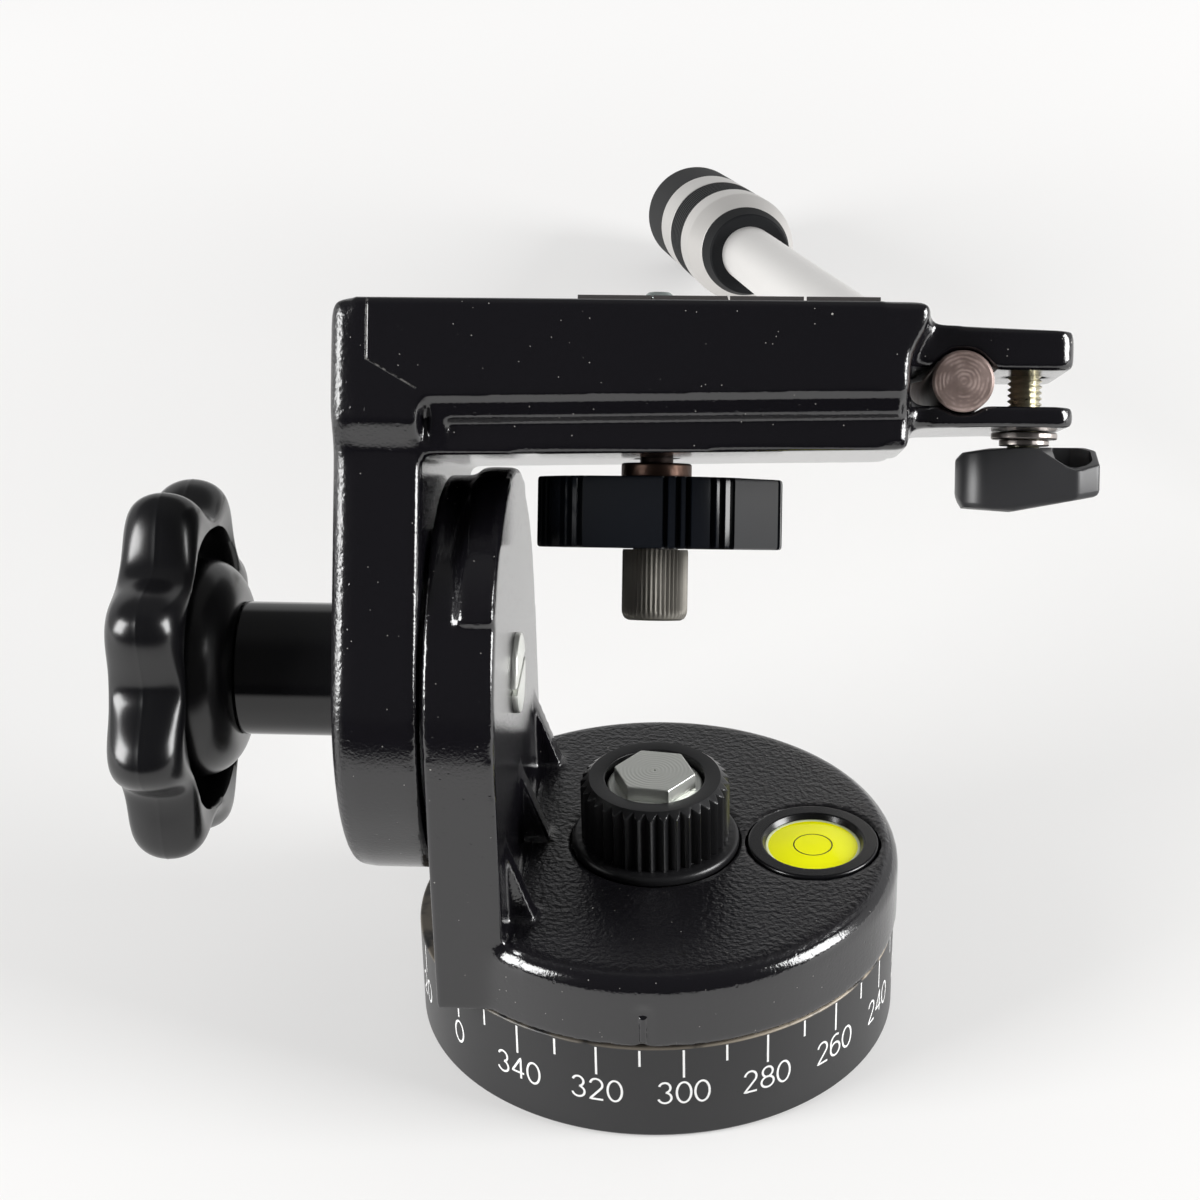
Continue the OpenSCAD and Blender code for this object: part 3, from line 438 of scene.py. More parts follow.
# the scale's paint is worn to metal along its top edge, mostly on the right
scaleFinish = {"black": (0.018, 0.018, 0.019), "worn": (0.42, 0.36, 0.28), "rough": 0.34,
               "edge": (0.01895, 0.0192), "right": (0.005, 0.03), "leftShare": 0.25,
               "wear": (160, 0.36, 0.52, 3), "cloud": (90, 0.06), "specks": (300, 0.05, 0.12),
               "speckRough": 0.3, "grain": (2600, 4e-5)}


def scalePaint():
    own = scaleFinish
    m, shader, at = newMaterial("scaleBlack", own["black"], own["rough"])
    x, z = at.xyz()[::2]
    share = own["leftShare"]
    worn = z.step(*own["edge"]) * patches(at, *own["wear"])
    worn = worn * (share + x.step(*own["right"]) * (1 - share))
    at.feed(shader.inputs["Base Color"], worn.mix(own["black"], own["worn"]))
    size, depth = own["cloud"]
    dull = own["rough"] + noise(at, size) * depth
    specks = dust(at, *own["specks"]) * own["speckRough"]
    at.feed(shader.inputs["Roughness"], dull + specks)
    grained(shader, at, *own["grain"])
    return m


# the rod's bare steel: irregular rings round its axis tint and score it, and inside the clamp its colour is
# painted darker, a painted shade
rodFinish = {"dark": (0.17, 0.122, 0.108), "pale": (0.5, 0.385, 0.35), "rough": 0.34, "metal": 0.4,
             "rings": 9000, "clamp": (-0.0301, -0.0296, 0.03, 0.034), "shade": 0.95, "tone": 350,
             "wobble": (420, 7.0), "patches": (500, 0.35, 0.65), "waveShare": 0.4, "toneShare": 0.7,
             "range": (0.1, 0.95), "toneRough": 0.2, "score": (0.35, 8e-5)}


def rodSteel():
    own = rodFinish
    m, shader, at = newMaterial("rodSteel", own["dark"], own["rough"], metal=own["metal"])
    centre, normal = placed([bar["x"], 0, bar["n"]], arm).tolist(), (arm[0] @ [0, 1.0, 0]).tolist()
    along, radius = axisWires(at, centre, normal)
    tone = noise(at, own["tone"], 3)
    size, sway = own["wobble"]
    wave = at.op("SINE", radius * own["rings"] + noise(at, size) * sway) * 0.5 + 0.5
    wave = wave * patches(at, *own["patches"])
    # painted shade: the rod's colour is darkened where it lies inside the clamp, standing in for the clamp's
    # shadow
    inside = along.band(*own["clamp"])
    share = wave * own["waveShare"] + tone * own["toneShare"]
    share = share.step(*own["range"]) - inside * own["shade"]
    at.feed(shader.inputs["Base Color"], share.mix(own["dark"], own["pale"]))
    at.feed(shader.inputs["Roughness"], own["rough"] + tone * own["toneRough"])
    bumped(shader, at, wave, *own["score"])
    return m


# the camera screw: grey below, a brown neck and bright zinc on the threaded tip
screwFinish = {"finger": (0.18, 0.17, 0.15), "neck": (0.05, 0.033, 0.028), "tip": (0.3, 0.34, 0.33),
               "rough": 0.48, "tipGloss": 0.28, "metal": 0.6, "cloud": (700, 0.1), "grain": (1800, 6e-5),
               "neckFrom": (0.0354, 0.0358), "tipFrom": (0.0615, 0.062)}


def screwSteel():
    own = screwFinish
    m, shader, at = newMaterial("fingerSteel", own["finger"], own["rough"], metal=own["metal"])
    y, z = at.xyz()[1:]
    n = y * math.sin(tiltRest) + (z - axisHeight * 0.001) * math.cos(tiltRest)
    tip = n.step(*own["tipFrom"])
    lower = n.step(*own["neckFrom"]).mix(own["finger"], own["neck"])
    whole = at.use("ShaderNodeMix", out=2, data_type="RGBA", i0=tip, i6=lower, i7=(*own["tip"], 1))
    at.feed(shader.inputs["Base Color"], whole)
    gloss = tip * own["tipGloss"]
    size, depth = own["cloud"]
    at.feed(shader.inputs["Roughness"], own["rough"] - gloss + noise(at, size, 3) * depth)
    grained(shader, at, *own["grain"])
    return m


def plainPlastic(name, color, rough, grain, depth, ior=1.5):
    m, shader, at = newMaterial(name, color, rough, ior=ior)
    grained(shader, at, grain, depth)
    return m


# the level's fluid: a yellow colour with an emission on top, a painted glow that makes it brighter than the
# lamps light it
fluidGlow = {"color": (0.88, 0.9, 0.0), "rough": 0.08, "glow": (0.93, 0.88, 0.0, 1), "strength": 0.17,
       "grain": (300, 2e-6)}


def dyedFluid():
    m, shader, at = newMaterial("vialFluid", fluidGlow["color"], fluidGlow["rough"])
    # painted light: the fluid glows, though it is no lamp
    shader.inputs["Emission Color"].default_value = fluidGlow["glow"]
    shader.inputs["Emission Strength"].default_value = fluidGlow["strength"]
    grained(shader, at, *fluidGlow["grain"])
    return m


# metal turned on a lathe: fine rings round the upright axis and an uneven gloss
lathed = {"wobble": (500, 3.0), "score": (0.18, 6e-5), "cloud": (260, 0.18), "gloss": 0.08}


def turnedMetal(name, color, rough, rings, metal=1.0):
    m, shader, at = newMaterial(name, color, rough, metal=metal)
    radius = axisWires(at, (0, 0, 0), (0, 0, 1))[1]
    size, sway = lathed["wobble"]
    bumped(shader, at, at.op("SINE", radius * rings + noise(at, size) * sway), *lathed["score"])
    size, depth = lathed["cloud"]
    at.feed(shader.inputs["Roughness"], rough - lathed["gloss"] + noise(at, size, 3) * depth)
    return m


# finishes by material slot, and a few for single pieces
paint = {
    "stove_enamel": enamel(),
    "scale_black": scalePaint(),
    "white": plainPlastic("scaleWhite", (0.93, 0.93, 0.92), 0.5, 2600, 2e-5),
    "moulded_black": plainPlastic("mouldedBlack", (0.0045, 0.0045, 0.0054), 0.24, 300, 3e-5, 1.58),
    "lock": plainPlastic("lockBlack", (0.0055, 0.0065, 0.009), 0.16, 300, 2e-5, 1.42),
    "satin_black": plainPlastic("satinBlack", (0.012, 0.012, 0.013), 0.3, 1500, 4e-5),
    "wing": plainPlastic("wingBlack", (0.03, 0.03, 0.032), 0.36, 300, 2e-5),
    "gloss": plainPlastic("glossBlack", (0.008, 0.008, 0.009), 0.09, 300, 1e-5),
    "grip": plainPlastic("gripBlack", (0.008, 0.0085, 0.0095), 0.6, 1500, 4e-5, 1.22),
    "pad_rubber": plainPlastic("padRubber", (0.035, 0.031, 0.03), 0.7, 1500, 8e-5),
    "friction_fibre": plainPlastic("frictionFibre", (0.18, 0.11, 0.07), 0.8, 1500, 0.0001),
    "vial_clear": plainPlastic("vialRim", (0.75, 0.8, 0.5), 0.12, 300, 2e-6),
    "vial_fluid": dyedFluid(),
    "bare_steel": rodSteel(),
    "finger": screwSteel(),
    "zinc_steel": turnedMetal("zincSteel", (0.79, 0.805, 0.76), 0.36, 9000, 0.75),
    "yellow_zinc": turnedMetal("yellowZinc", (0.68, 0.65, 0.52), 0.3, 6000),
    "copper_washer": turnedMetal("copperWasher", (0.13, 0.08, 0.062), 0.42, 5000),
    "washer": turnedMetal("washerSteel", (0.4, 0.365, 0.345), 0.32, 5000),
    "bush_brass": turnedMetal("bushBrass", (0.62, 0.45, 0.2), 0.35, 4000),
    "plate_aluminium": turnedMetal("plateAluminium", (0.6, 0.61, 0.63), 0.35, 4000),
    "tube_silver": turnedMetal("tubeSilver", (0.88, 0.865, 0.845), 0.45, 0, 0.65),
    "band": turnedMetal("bandSilver", (0.69, 0.672, 0.65), 0.42, 0, 0.7),
}
for row in frame["record"]["subparts"]:
    mesh = nodes[row["node"]].data
    mesh.materials.clear()
    mesh.materials.append(paint[row["material_slot"]])
print("materials made")

# castings; a box is a low and a high corner in the piece's own frame, and a fillet row adds rounds
turretSet = {"cell": 0.65, "rounds": 3, "crisp": [((-24.9, -30, 33.4), (-12, 30, 50))],
             "fillets": [((-31, -60, 20.6), (-21, -30, 33.5), 24), ((-34, -45, 64), (-24.2, 45, 112), 6)],
             "finer": ((-3.6, -46, 20), (4.1, -42.6, 30)), "cuts": 3}
indexSet = {"x": 0.25, "half": 0.72, "rise": 0.55, "top": 26.1, "fade": (26.5, 29.5), "radius": 44.48,
            "edge": 20.9, "reach": 3.0}
armSet = {"cell": 0.745, "rounds": 5, "crisp": [],
          "fillets": [((-60, -45, -45), (-48.6, 45, 70), 34), ((39, -45, 36), (46.9, 45, 66), 13)],
          "finer": ((-36.6, -45, 39.2), (43, 45, 49.2)), "cuts": 1}
# under the slab's bevelled lip the front is a steep web with the rib's face sunk in it; the face's upper left
# corner is round
ribSet = {"heights": [39.8, 44.7, 46.95, 48.35], "depths": [34.6, 36.45, 37.4, 38.7], "top": 44.7,
          "front": 34.6, "left": -33.6, "corner": 1.4, "soft": 1.3, "draft": math.tan(math.radians(1.3)),
          "reach": (-36.4, 42.4), "endFade": 0.8, "low": 39.6, "lowFade": 0.6, "skin": 32.5}


# depth = the slopes of lip and web over the height, less the rib's sinking by the distance inside its outline
def ribFront(co):
    r = ribSet
    x, n = co[:, 0], co[:, 2] - co[:, 0] * r["draft"]
    web = np.interp(n, r["heights"], r["depths"])
    inX, inN = x - r["left"], r["top"] - n
    away = np.hypot(np.minimum(inX - r["corner"], 0), np.minimum(inN - r["corner"], 0))
    inside = np.where(away > 0, r["corner"] - away, r["corner"])
    depth = web + (r["front"] - web) * smooth(inside, 0, r["soft"])
    left, right = r["reach"]
    share = smooth(x, left, left + r["endFade"]) * (1 - smooth(x, right - r["endFade"], right))
    share = share * smooth(n, r["low"], r["low"] + r["lowFade"])
    share = share * (n < r["heights"][-1]) * (np.abs(co[:, 1]) > r["skin"])
    out = co.copy()
    out[:, 1] += share * (np.sign(co[:, 1]) * depth - co[:, 1])
    return out


# the index mark is a half-round rib in a shallow hollow of the skirt: radius = the skirt's, less a cosine dip
# over x that fades above the rib's top, plus, below that, its rise times the root of 1 - (x / half) squared
def indexRib(co):
    g = indexSet
    x, z = np.abs(co[:, 0] - g["x"]), co[:, 2]
    dip = g["rise"] * (0.5 + 0.5 * np.cos(np.pi * np.clip(x / g["reach"], 0, 1)))
    dip = dip * (1 - smooth(z, *g["fade"]))
    rib = g["rise"] * np.sqrt(1 - np.clip(x / g["half"], 0, 1) ** 2) * (z < g["top"])
    radius = np.hypot(co[:, 0], co[:, 1])
    wanted = g["radius"] - dip + rib
    wanted = np.where(z > g["edge"], wanted, np.minimum(radius, wanted))
    out = co.copy()
    out[:, :2] *= np.where(inBox(co, *turretSet["finer"]), wanted / np.maximum(radius, 1), 1)[:, None]
    return out


castPiece("turretCasting", "pan_housing", base, "turret", turretSet, indexRib)
castPiece("armCasting", "platform_arm", arm, "arm", armSet, ribFront)
print("castings made")

# base: one closed profile of the chamfered outside, the chamber, the hub and the bush's seat
ring = {"radius": 44.0, "rounds": [0, .3, .3, .35, .3, .3, .3, .3, .2, 0, 0],
        "profile": [[8.03, 0], [43.3, 0], [44, 0.7], [44, 19.4], [36, 19.4], [36, 6], [16, 6], [16, 17],
                    [9.03, 17], [9.03, 9], [8.03, 9]]}
baseProfile = rounded(ring["profile"], ring["rounds"], 4, True)
makePiece("scaleRing", lathe(baseProfile, 256, True), base, "base", "scale_black", ["scale_base"])

# numerals as pen strokes: lists of arcs (centre, radii, from, to) and straight runs, in a cell 1 high
scale = {"zero": 219.4, "lift": 0.03, "pen": 0.21, "digit": 4.4, "wide": 2.75, "pitch": 3.25, "baseline": 7.6,
         "longTick": 5.9, "shortTick": 3.4, "tickTop": 18.9, "tickPen": 0.2}


def arc(cx, cy, rx, ry, start, end, n=18):
    a = np.radians(np.linspace(start, end, n))
    return np.stack([cx + rx * np.cos(a), cy + ry * np.sin(a)], -1)


strokes = {
    "0": [arc(.5, .5, .46, .5, 0, 360, 40)],
    "1": [np.array([[.28, .8], [.55, 1.0], [.55, 0]])],
    "2": [np.concatenate([arc(.48, .72, .40, .28, 170, -38), np.array([[.06, 0], [.92, 0]])])],
    "3": [np.concatenate([arc(.46, .755, .36, .245, 165, -78), arc(.46, .26, .42, .26, 84, -165)])],
    "4": [np.array([[.72, 0], [.72, 1.0], [.04, .28], [.96, .28]])],
    "6": [np.concatenate([arc(.56, .62, .50, .38, 60, 180, 12), arc(.5, .31, .44, .31, 165, 525, 36)])],
    "8": [arc(.5, .755, .36, .245, -90, 270, 32), arc(.5, .26, .44, .26, 90, 450, 36)],
}


# a flat ribbon of half width pen on both sides of a line, wrapped round the base: angle = x / radius
def penRibbon(line, pen, angle):
    d = np.gradient(line, axis=0)
    d /= np.linalg.norm(d, axis=1)[:, None]
    side = np.stack([-d[:, 1], d[:, 0]], -1) * pen
    flat = np.stack([line - side, line + side], 1)
    a = math.radians(angle) + flat[..., 0] / ring["radius"]
    r = ring["radius"] + scale["lift"]
    return grid(np.stack([r * np.cos(a), r * np.sin(a), flat[..., 1]], -1))


# a line with points added along its straight runs
def dense(line, gap=0.25):
    out = [line[:1]]
    for p, q in zip(line[:-1], line[1:]):
        n = max(1, int(np.linalg.norm(q - p) / gap))
        out.append(p + (q - p) * np.linspace(0, 1, n + 1)[1:, None])
    return np.concatenate(out)


marks = []
for v in range(0, 360, 10):
    angle = scale["zero"] + 360 - v
    length = scale["longTick"] if v % 20 == 0 else scale["shortTick"]
    tick = np.array([[0, scale["tickTop"] - length], [0, scale["tickTop"]]])
    marks.append(penRibbon(tick, scale["tickPen"], angle))
    if v % 20 == 0:
        text = str(v)
        for k, ch in enumerate(text):
            left = (k - (len(text) - 1) / 2) * scale["pitch"] - scale["wide"] / 2
            for line in strokes[ch]:
                pts = line * [scale["wide"], scale["digit"]] + [left, scale["baseline"]]
                marks.append(penRibbon(dense(pts), scale["pen"], angle))
makePiece("scaleMarks", joined(*marks), base, "base", "scale_black", finish="white")
print("scale made")

# pan drag knob: triangular flutes under a cone, then the flat ring and the bore
drag = {"flutes": 36, "crest": 13.6, "root": 12.35, "fill": 1.08, "ringOut": 12.0, "coneRun": 1.3,
        "low": [35.2, 35.35], "straight": (35.6, 44.6), "cone": (44.9, 47.3),
        "foot": [[7.06, 35.3], [12.5, 35.3], [12.5, 33.2], [15.4, 33.2], [15.4, 35.1], [13.2, 35.3]],
        "footRounds": [0, .1, .3, .7, .8, 0],
        "head": [[11.7, 47.3], [9.1, 47.3], [9.1, 39.2], [7.06, 39.2], [7.06, 35.3]],
        "headRounds": [0, .3, .2, .2, 0]}
a = turns(drag["flutes"] * 10)
tooth = np.abs(((a * drag["flutes"] / (2 * np.pi)) % 1) * 2 - 1)
fluted = drag["root"] + (drag["crest"] - drag["root"]) * np.clip(tooth * drag["fill"], 0, 1)
heights = np.concatenate([drag["low"], np.linspace(*drag["straight"], 6), np.linspace(*drag["cone"], 14)])
cone = drag["ringOut"] + (drag["cone"][1] - heights) * (drag["crest"] - drag["ringOut"]) / drag["coneRun"]
outer = np.minimum(fluted[None, :], np.maximum(cone, drag["ringOut"])[:, None])
foot = rounded(drag["foot"], drag["footRounds"], 6)
head = rounded(drag["head"], drag["headRounds"], 5)
rows = [ringAt(r, a, h) for part in (foot, zip(outer, heights), head[1:]) for r, h in part]
makePiece("panDragKnob", loft(rows), base, "pan_drag", "satin_black", ["pan_knob"], 28)

# hexagon head: rows of a hexagon shrunk towards the axis, its corners cut by a cone, with a centre dimple
hexHead = {"across": 13.0, "turn": -7.3, "low": 45.9, "high": 48.6, "cone": 7.25, "slope": 30,
           "shares": [0.001, 0.03, 0.035, 0.06, 0.5, 0.9, 0.95, 0.965, 0.975, 0.985, 0.993, 1.0],
           "dimple": [0.5, 0.4], "rounds": [0.01, 0.03, 0.07, 0.16], "foot": (0.25, 0.05),
           "under": (0.98, 0.3), "shank": [[4, 28], [4, 45.91], [2, 45.91]]}
h = turns(240)
fromFlat = (h - math.radians(hexHead["turn"]) + math.pi) % (math.pi / 3) - math.pi / 6
edge = hexHead["across"] / 2 / np.cos(fromFlat)
rr = np.array(hexHead["shares"])[:, None] * edge
zz = hexHead["high"] - np.maximum(rr - hexHead["cone"], 0) * math.tan(math.radians(hexHead["slope"]))
zz[:2] -= np.array(hexHead["dimple"])[:, None]
zz[-4:] -= np.array(hexHead["rounds"])[:, None]
rows = [ringAt(r, h, z) for r, z in zip(rr, zz)]
rows += [ringAt(edge, h, hexHead["low"] + rise) for rise in hexHead["foot"]]
rows += [ringAt(share * edge, h, hexHead["low"]) for share in hexHead["under"]]
makePiece("hexBolt", joined(loft(rows), lathe(hexHead["shank"], 48)), base, "base",
          "zinc_steel", ["centre_bolt"], 20)
boltWasher = {"inner": 4.4, "outer": 8.7, "low": 41, "high": 45.88, "radius": 0.35}
makePiece("boltWasher", plainRing(**boltWasher), base, "base", "zinc_steel", ["bolt_washer"])
print("pan axis made")

# level: a black ring with a sunk window, fluid, pale rim and a drawn circle
level = {"x": 28.9, "mark": 3.5, "pen": 0.11, "markTop": (33.33, 33.325),
         "ring": [[8.7, 25.5], [8.7, 33.3], [9.3, 34.25], [11.95, 34.25], [11.95, 24], [8.7, 24]],
         "ringRounds": [0, .1, .35, .4, .2, 0],
         "fluid": [[0.001, 33.34], [4, 33.3], [8.2, 33.1], [8.2, 25.6], [0.001, 25.6]],
         "vial": [[8.21, 25.6], [8.21, 33.12], [8.68, 33.2], [8.68, 25.6]], "vialRound": 0.05}
levelAt = inFrame(base, np.eye(3), [level["x"], 0, 0])
levelRing = lathe(rounded(level["ring"], level["ringRounds"], 6, True), 128, True)
makePiece("levelRing", levelRing, levelAt, "turret", "moulded_black", ["level_ring"])
makePiece("levelFluid", lathe(level["fluid"], 96), levelAt, "turret", "vial_fluid", ["level_fluid"])
vial = lathe(rounded(level["vial"], level["vialRound"], 3, True), 96, True)
makePiece("levelVial", vial, levelAt, "turret", "vial_clear", ["level_vial"])
circle = np.stack([level["mark"] + level["pen"] * np.array([-1, 1]), level["markTop"]], -1)
makePiece("levelMark", lathe(circle, 96), levelAt, "turret", "moulded_black")
print("level made")

# tilt knob: outer radius = valley + (lobe - valley) * cosine wave; the rim's section is an oval between the
# pocket's mild scallop and that radius, with a thin mould line round its middle; a dome stands in the pocket
star = {"lobes": 8, "turn": -3.0, "lobe": 35.0, "valley": 28.3, "thick": 13.3, "inner": 78.7, "pocket": 25.0,
        "scallop": 0.5, "line": 0.05, "rimGap": 0.5, "oval": 0.85, "neck": (9.2, 73.5), "dome": (12.0, 81.1),
        "domeRound": 7.6, "floor": ((19.7, 8.3), (20.0, 8.9), (20.6, 9.0)),
        "wall": ((-0.8, 9.0), (0.0, 8.2), (0.0, 4.0), (0.1, 1.0), (0.25, 0.35)),
        "back": ((0.9, 0.0), (0.7, -0.06), (0.45, -0.15), (0.2, -0.18), (0.0005, -0.18))}
f = turns(320)
wave = 0.5 + 0.5 * np.cos(star["lobes"] * (f - math.radians(star["turn"])))
rim = star["valley"] + (star["lobe"] - star["valley"]) * wave
pocket = star["pocket"] + star["scallop"] * wave
half = star["thick"] / 2
room = rim - pocket - star["rimGap"]
reach = half * room / (half ** 4 + room ** 4) ** 0.25
bend = np.radians(np.linspace(90, 0, 14))
domeR = star["dome"][0] + star["domeRound"] * np.cos(bend)
domeZ = star["dome"][1] - star["domeRound"] * np.sin(bend)
rows = [ringAt(star["neck"][0], f, star["neck"][1])] + [ringAt(r, f, z) for r, z in zip(domeR, domeZ)]
rows += [ringAt(r, f, star["inner"] + z) for r, z in star["floor"]]
rows += [ringAt(pocket + s, f, star["inner"] + z) for s, z in star["wall"]]
for deg in np.concatenate([np.linspace(-90, -8, 12), [-1.5, 0, 1.5], np.linspace(8, 90, 12)]):
    c, s = math.cos(math.radians(deg)), math.sin(math.radians(deg))
    ridge = star["line"] if deg == 0 else 0.0
    radius = rim - reach + reach * abs(c) ** star["oval"] + ridge
    rows.append(ringAt(radius, f, star["inner"] + half + half * s))
rows += [ringAt((rim - reach) * share, f, star["inner"] + star["thick"] + z) for share, z in star["back"]]
makePiece("starKnob", loft(rows), knobAxis, "tilt_lock", "moulded_black", ["star_knob"], 50)
sleeve = {"inner": 6.4, "outer": 11.95, "low": 52.8, "high": 73.3, "radius": 0.15, "count": 128}
makePiece("tiltSleeve", plainRing(**sleeve), knobAxis, "tilt_press", "satin_black", ["tilt_sleeve"],
          finish="gloss")

# tilt shaft: a plain round shaft, and a head of two half discs with the slot between them
shaft = {"x": -24.6, "radius": 5.98, "head": 7.25, "slot": 0.65, "end": -63.2, "foot": 0.02,
         "rows": ((0.0005, 0), (1, 0), (1, 0.5), (0.99, 0.75), (0.965, 0.92), (0.93, 0.98), (0.0005, 0.98))}
shaftAt = (np.array([[0, 0, 1.0], [1.0, 0, 0], [0, 1.0, 0]]), np.array([shaft["x"], 0, axisHeight]))
across = math.asin(shaft["slot"] / shaft["head"])
bow = np.linspace(across, math.pi - across, 60)
halfDisc = np.stack([shaft["head"] * np.cos(bow), shaft["head"] * np.sin(bow)], -1)
middle = np.array([0, shaft["head"] * 0.45])
rows = [atHeight(middle + (halfDisc - middle) * share, h) for share, h in shaft["rows"]]
upper = loft(rows)
core = lathe([[0.001, shaft["foot"]], [shaft["radius"], shaft["foot"]], [shaft["radius"], shaft["end"]],
              [0.001, shaft["end"]]], 64)
lower = (upper[0] * [-1, -1, 1], upper[1])
makePiece("tiltShaft", joined(upper, lower, core), shaftAt, "turret", "zinc_steel", ["tilt_shaft"], 30)
print("tilt knob made")

# camera lock knob: five broad flat faces and groups of ribs between them, two narrow, one wide, two narrow
lock = {"radius": 22.4, "low": 22.6, "high": 35.0, "groups": 5, "first": -66.6, "groove": 1.5, "cut": 1.5,
        "round": 0.6, "bore": 4.06, "edges": [-15.8, -10.3, -5.7, 5.7, 10.3, 15.8], "face": (15.5, 15.8),
        "rounds": ((1.2, 0.0), (0.35, 0.05), (0.08, 0.28), (0.0, 0.7))}
g = np.linspace(0, 360, 1440, endpoint=False)
span = 180 / lock["groups"]
local = (g - lock["first"] + span) % (2 * span) - span
depth = np.max([1 - np.abs(local - e) / lock["groove"] for e in lock["edges"]], axis=0)
half = span - lock["edges"][-1]
face = np.radians(np.minimum(span - np.abs(local), half))
flat = lock["radius"] * math.cos(math.radians(half)) / np.cos(face)
bodyR = np.where(span - np.abs(local) < half, flat, lock["radius"])
bodyR = bodyR - lock["cut"] * np.clip(depth, 0, 1) ** lock["round"]
tall = lock["high"] - lock["low"]
ga = np.radians(g)
rows = [ringAt(r, ga, lock["low"]) for r in (lock["bore"], *lock["face"])]
rows += [ringAt(bodyR - back, ga, lock["low"] + rise) for back, rise in lock["rounds"]]
rows += [ringAt(bodyR - back, ga, lock["low"] + tall - rise) for back, rise in lock["rounds"][::-1]]
rows += [ringAt(r, ga, lock["high"]) for r in (lock["face"][0], lock["bore"])]
makePiece("lockKnob", loft(rows, True), arm, "lock", "moulded_black", ["lock_knob"], 30, "lock")

# camera screw: a straight knurl on the finger head, a plain neck and a thread; rows are radius, height and
# the knurl's share
screw = {"knurls": 44, "knurl": 0.34,
         "thread": {"low": 63.6, "high": 67.3, "crest": 3.175, "pitch": 1.27, "depth": 0.62},
         "rows": ((0.001, 9.8, 0), (3.5, 9.8, 0), (4.7, 9.85, 0), (5.3, 10.15, 0), (5.6, 10.6, 0.2),
                  (5.8, 11.2, 0.6), (5.85, 11.9, 1), (5.85, 22.0, 1), (5.75, 22.4, 0.6), (4, 22.4, 0),
                  (4, 35.0, 0), (2.95, 35.1, 0)),
         "neck": [[2.95, 35.1], [2.95, 63.7]], "tip": [[2.6, 67.2], [2.3, 67.7], [1.9, 68.0], [0.001, 68.0]]}
k = turns(screw["knurls"] * 6)
ridge = screw["knurl"] * np.abs(((k * screw["knurls"] / (2 * np.pi)) % 1) * 2 - 1)
finger = loft([ringAt(r - ridge * share, k, z) for r, z, share in screw["rows"]])


# a thread: radius = crest - depth * saw(z / pitch - turn), which runs out over one pitch at both ends; the
# saw is cut off above and below, so crest and root are flat
threadForm = {"steep": 1.3, "flat": 0.15, "runOut": 0.7}


def threaded(low, high, crest, pitch, depth, count=48, per=10):
    z = np.linspace(low, high, int((high - low) / pitch * per))
    t = turns(count)
    saw = np.abs(((z[:, None] / pitch - t[None, :] / (2 * np.pi)) % 1) * 2 - 1)
    fade = np.clip((z - low) / pitch, 0, 1) * np.clip((high - z) / pitch, 0, 1)
    flank = np.clip(saw * threadForm["steep"] - threadForm["flat"], 0, 1)
    r = crest - depth * flank - depth * threadForm["runOut"] * (1 - fade[:, None]) * (1 - saw)
    points = np.stack([r * np.cos(t), r * np.sin(t), np.broadcast_to(z[:, None], r.shape)], -1)
    return loft(points)


neck, tip = lathe(screw["neck"], 48), lathe(screw["tip"], 48)
whole = joined(finger, neck, threaded(**screw["thread"]), tip)
makePiece("cameraScrew", whole, arm, "screw", "bare_steel", ["camera_screw"], 30, "finger")
copper = {"inner": 4.4, "outer": 6.25, "low": 35.1, "high": 37.7, "radius": 0.45}
makePiece("copperWasher", plainRing(**copper), arm, "lock_press", "copper_washer", ["lock_washer"])
print("camera screw made")

# handle clamp: screw, washer, collar and wing
clamp = {"at": [64.0, -8.0, 0],
         "washer": {"inner": 3.4, "outer": 5.7, "low": 42.4, "high": 43.6, "radius": 0.3},
         "collar": {"inner": 3.03, "outer": 4.3, "low": 41.3, "high": 42.3, "radius": 0.2, "steps": 3},
         "thread": {"low": 35.5, "high": 59.1, "crest": 2.98, "pitch": 1.0, "depth": 0.55}}
clampAt = inFrame(arm, np.eye(3), clamp["at"])
makePiece("clampWasher", plainRing(**clamp["washer"]), clampAt, "clamp_press", "zinc_steel",
          ["clamp_washer"], finish="washer")
makePiece("leverCollar", plainRing(**clamp["collar"]), clampAt, "lever", "zinc_steel",
          ["lever_collar"], finish="washer")
makePiece("clampScrew", threaded(**clamp["thread"]), clampAt, "lever", "yellow_zinc", ["clamp_screw"], 30)

# the wing is a loft: its plan outline is carried from the underside to the top, whose heights follow x and y,
# and then in to the pocket's outline and down to its floor
wing = {"planX": [12.75, 12.75, 8.8, 0.0, -11.75, -11.75, 0.0, 8.8],
        "planY": [3.6, -3.6, -5.7, -6.1, -6.1, 6.1, 6.1, 5.7],
        "planRounds": [.5, .5, .5, 9, 6.05, 6.05, 9, .5],
        "holeX": [11.7, 11.7, 8.4, 5.0, 5.0, 8.4], "holeY": [3.0, -3.0, -4.7, -4.9, 4.9, 4.7],
        "holeRound": 0.5, "low": ([-11.75, -10.6, -2, 9.75, 12.75], [31.9, 30.4, 29.92, 32.2, 32.8]),
        "front": ([-11.75, -10.3, -7, 1.2, 2.2, 7.2, 8.4, 12.75],
                  [38.6, 39.9, 40.4, 40.9, 40.7, 37.5, 37.1, 37.6]),
        "back": ([-11.75, -10.3, -5.8, 0, 10.5, 12.75], [38.9, 40.2, 41.0, 41.28, 41.28, 41.0]),
        "frontY": (-5.2, 9.4), "lowEdge": ((6.2, 0), (3, 0), (1.0, 0), (0.4, 0.2), (0.1, 0.6), (0, 1.1)),
        "topEdge": ((0, 0.4), (0.06, 0.15), (0.2, 0.03), (0.35, 0)), "pocket": (36.6, 35.2, 35.0),
        "draft": 0.1, "middle": [8.2, 0], "middleShare": 0.02}


# evenly spaced points round a closed outline
def around(outline, count=160):
    loop = np.concatenate([outline, outline[:1]])
    run = np.concatenate([[0], np.cumsum(np.linalg.norm(np.diff(loop, axis=0), axis=1))])
    t = np.linspace(0, run[-1], count, endpoint=False)
    return np.stack([np.interp(t, run, loop[:, k]) for k in range(2)], -1)


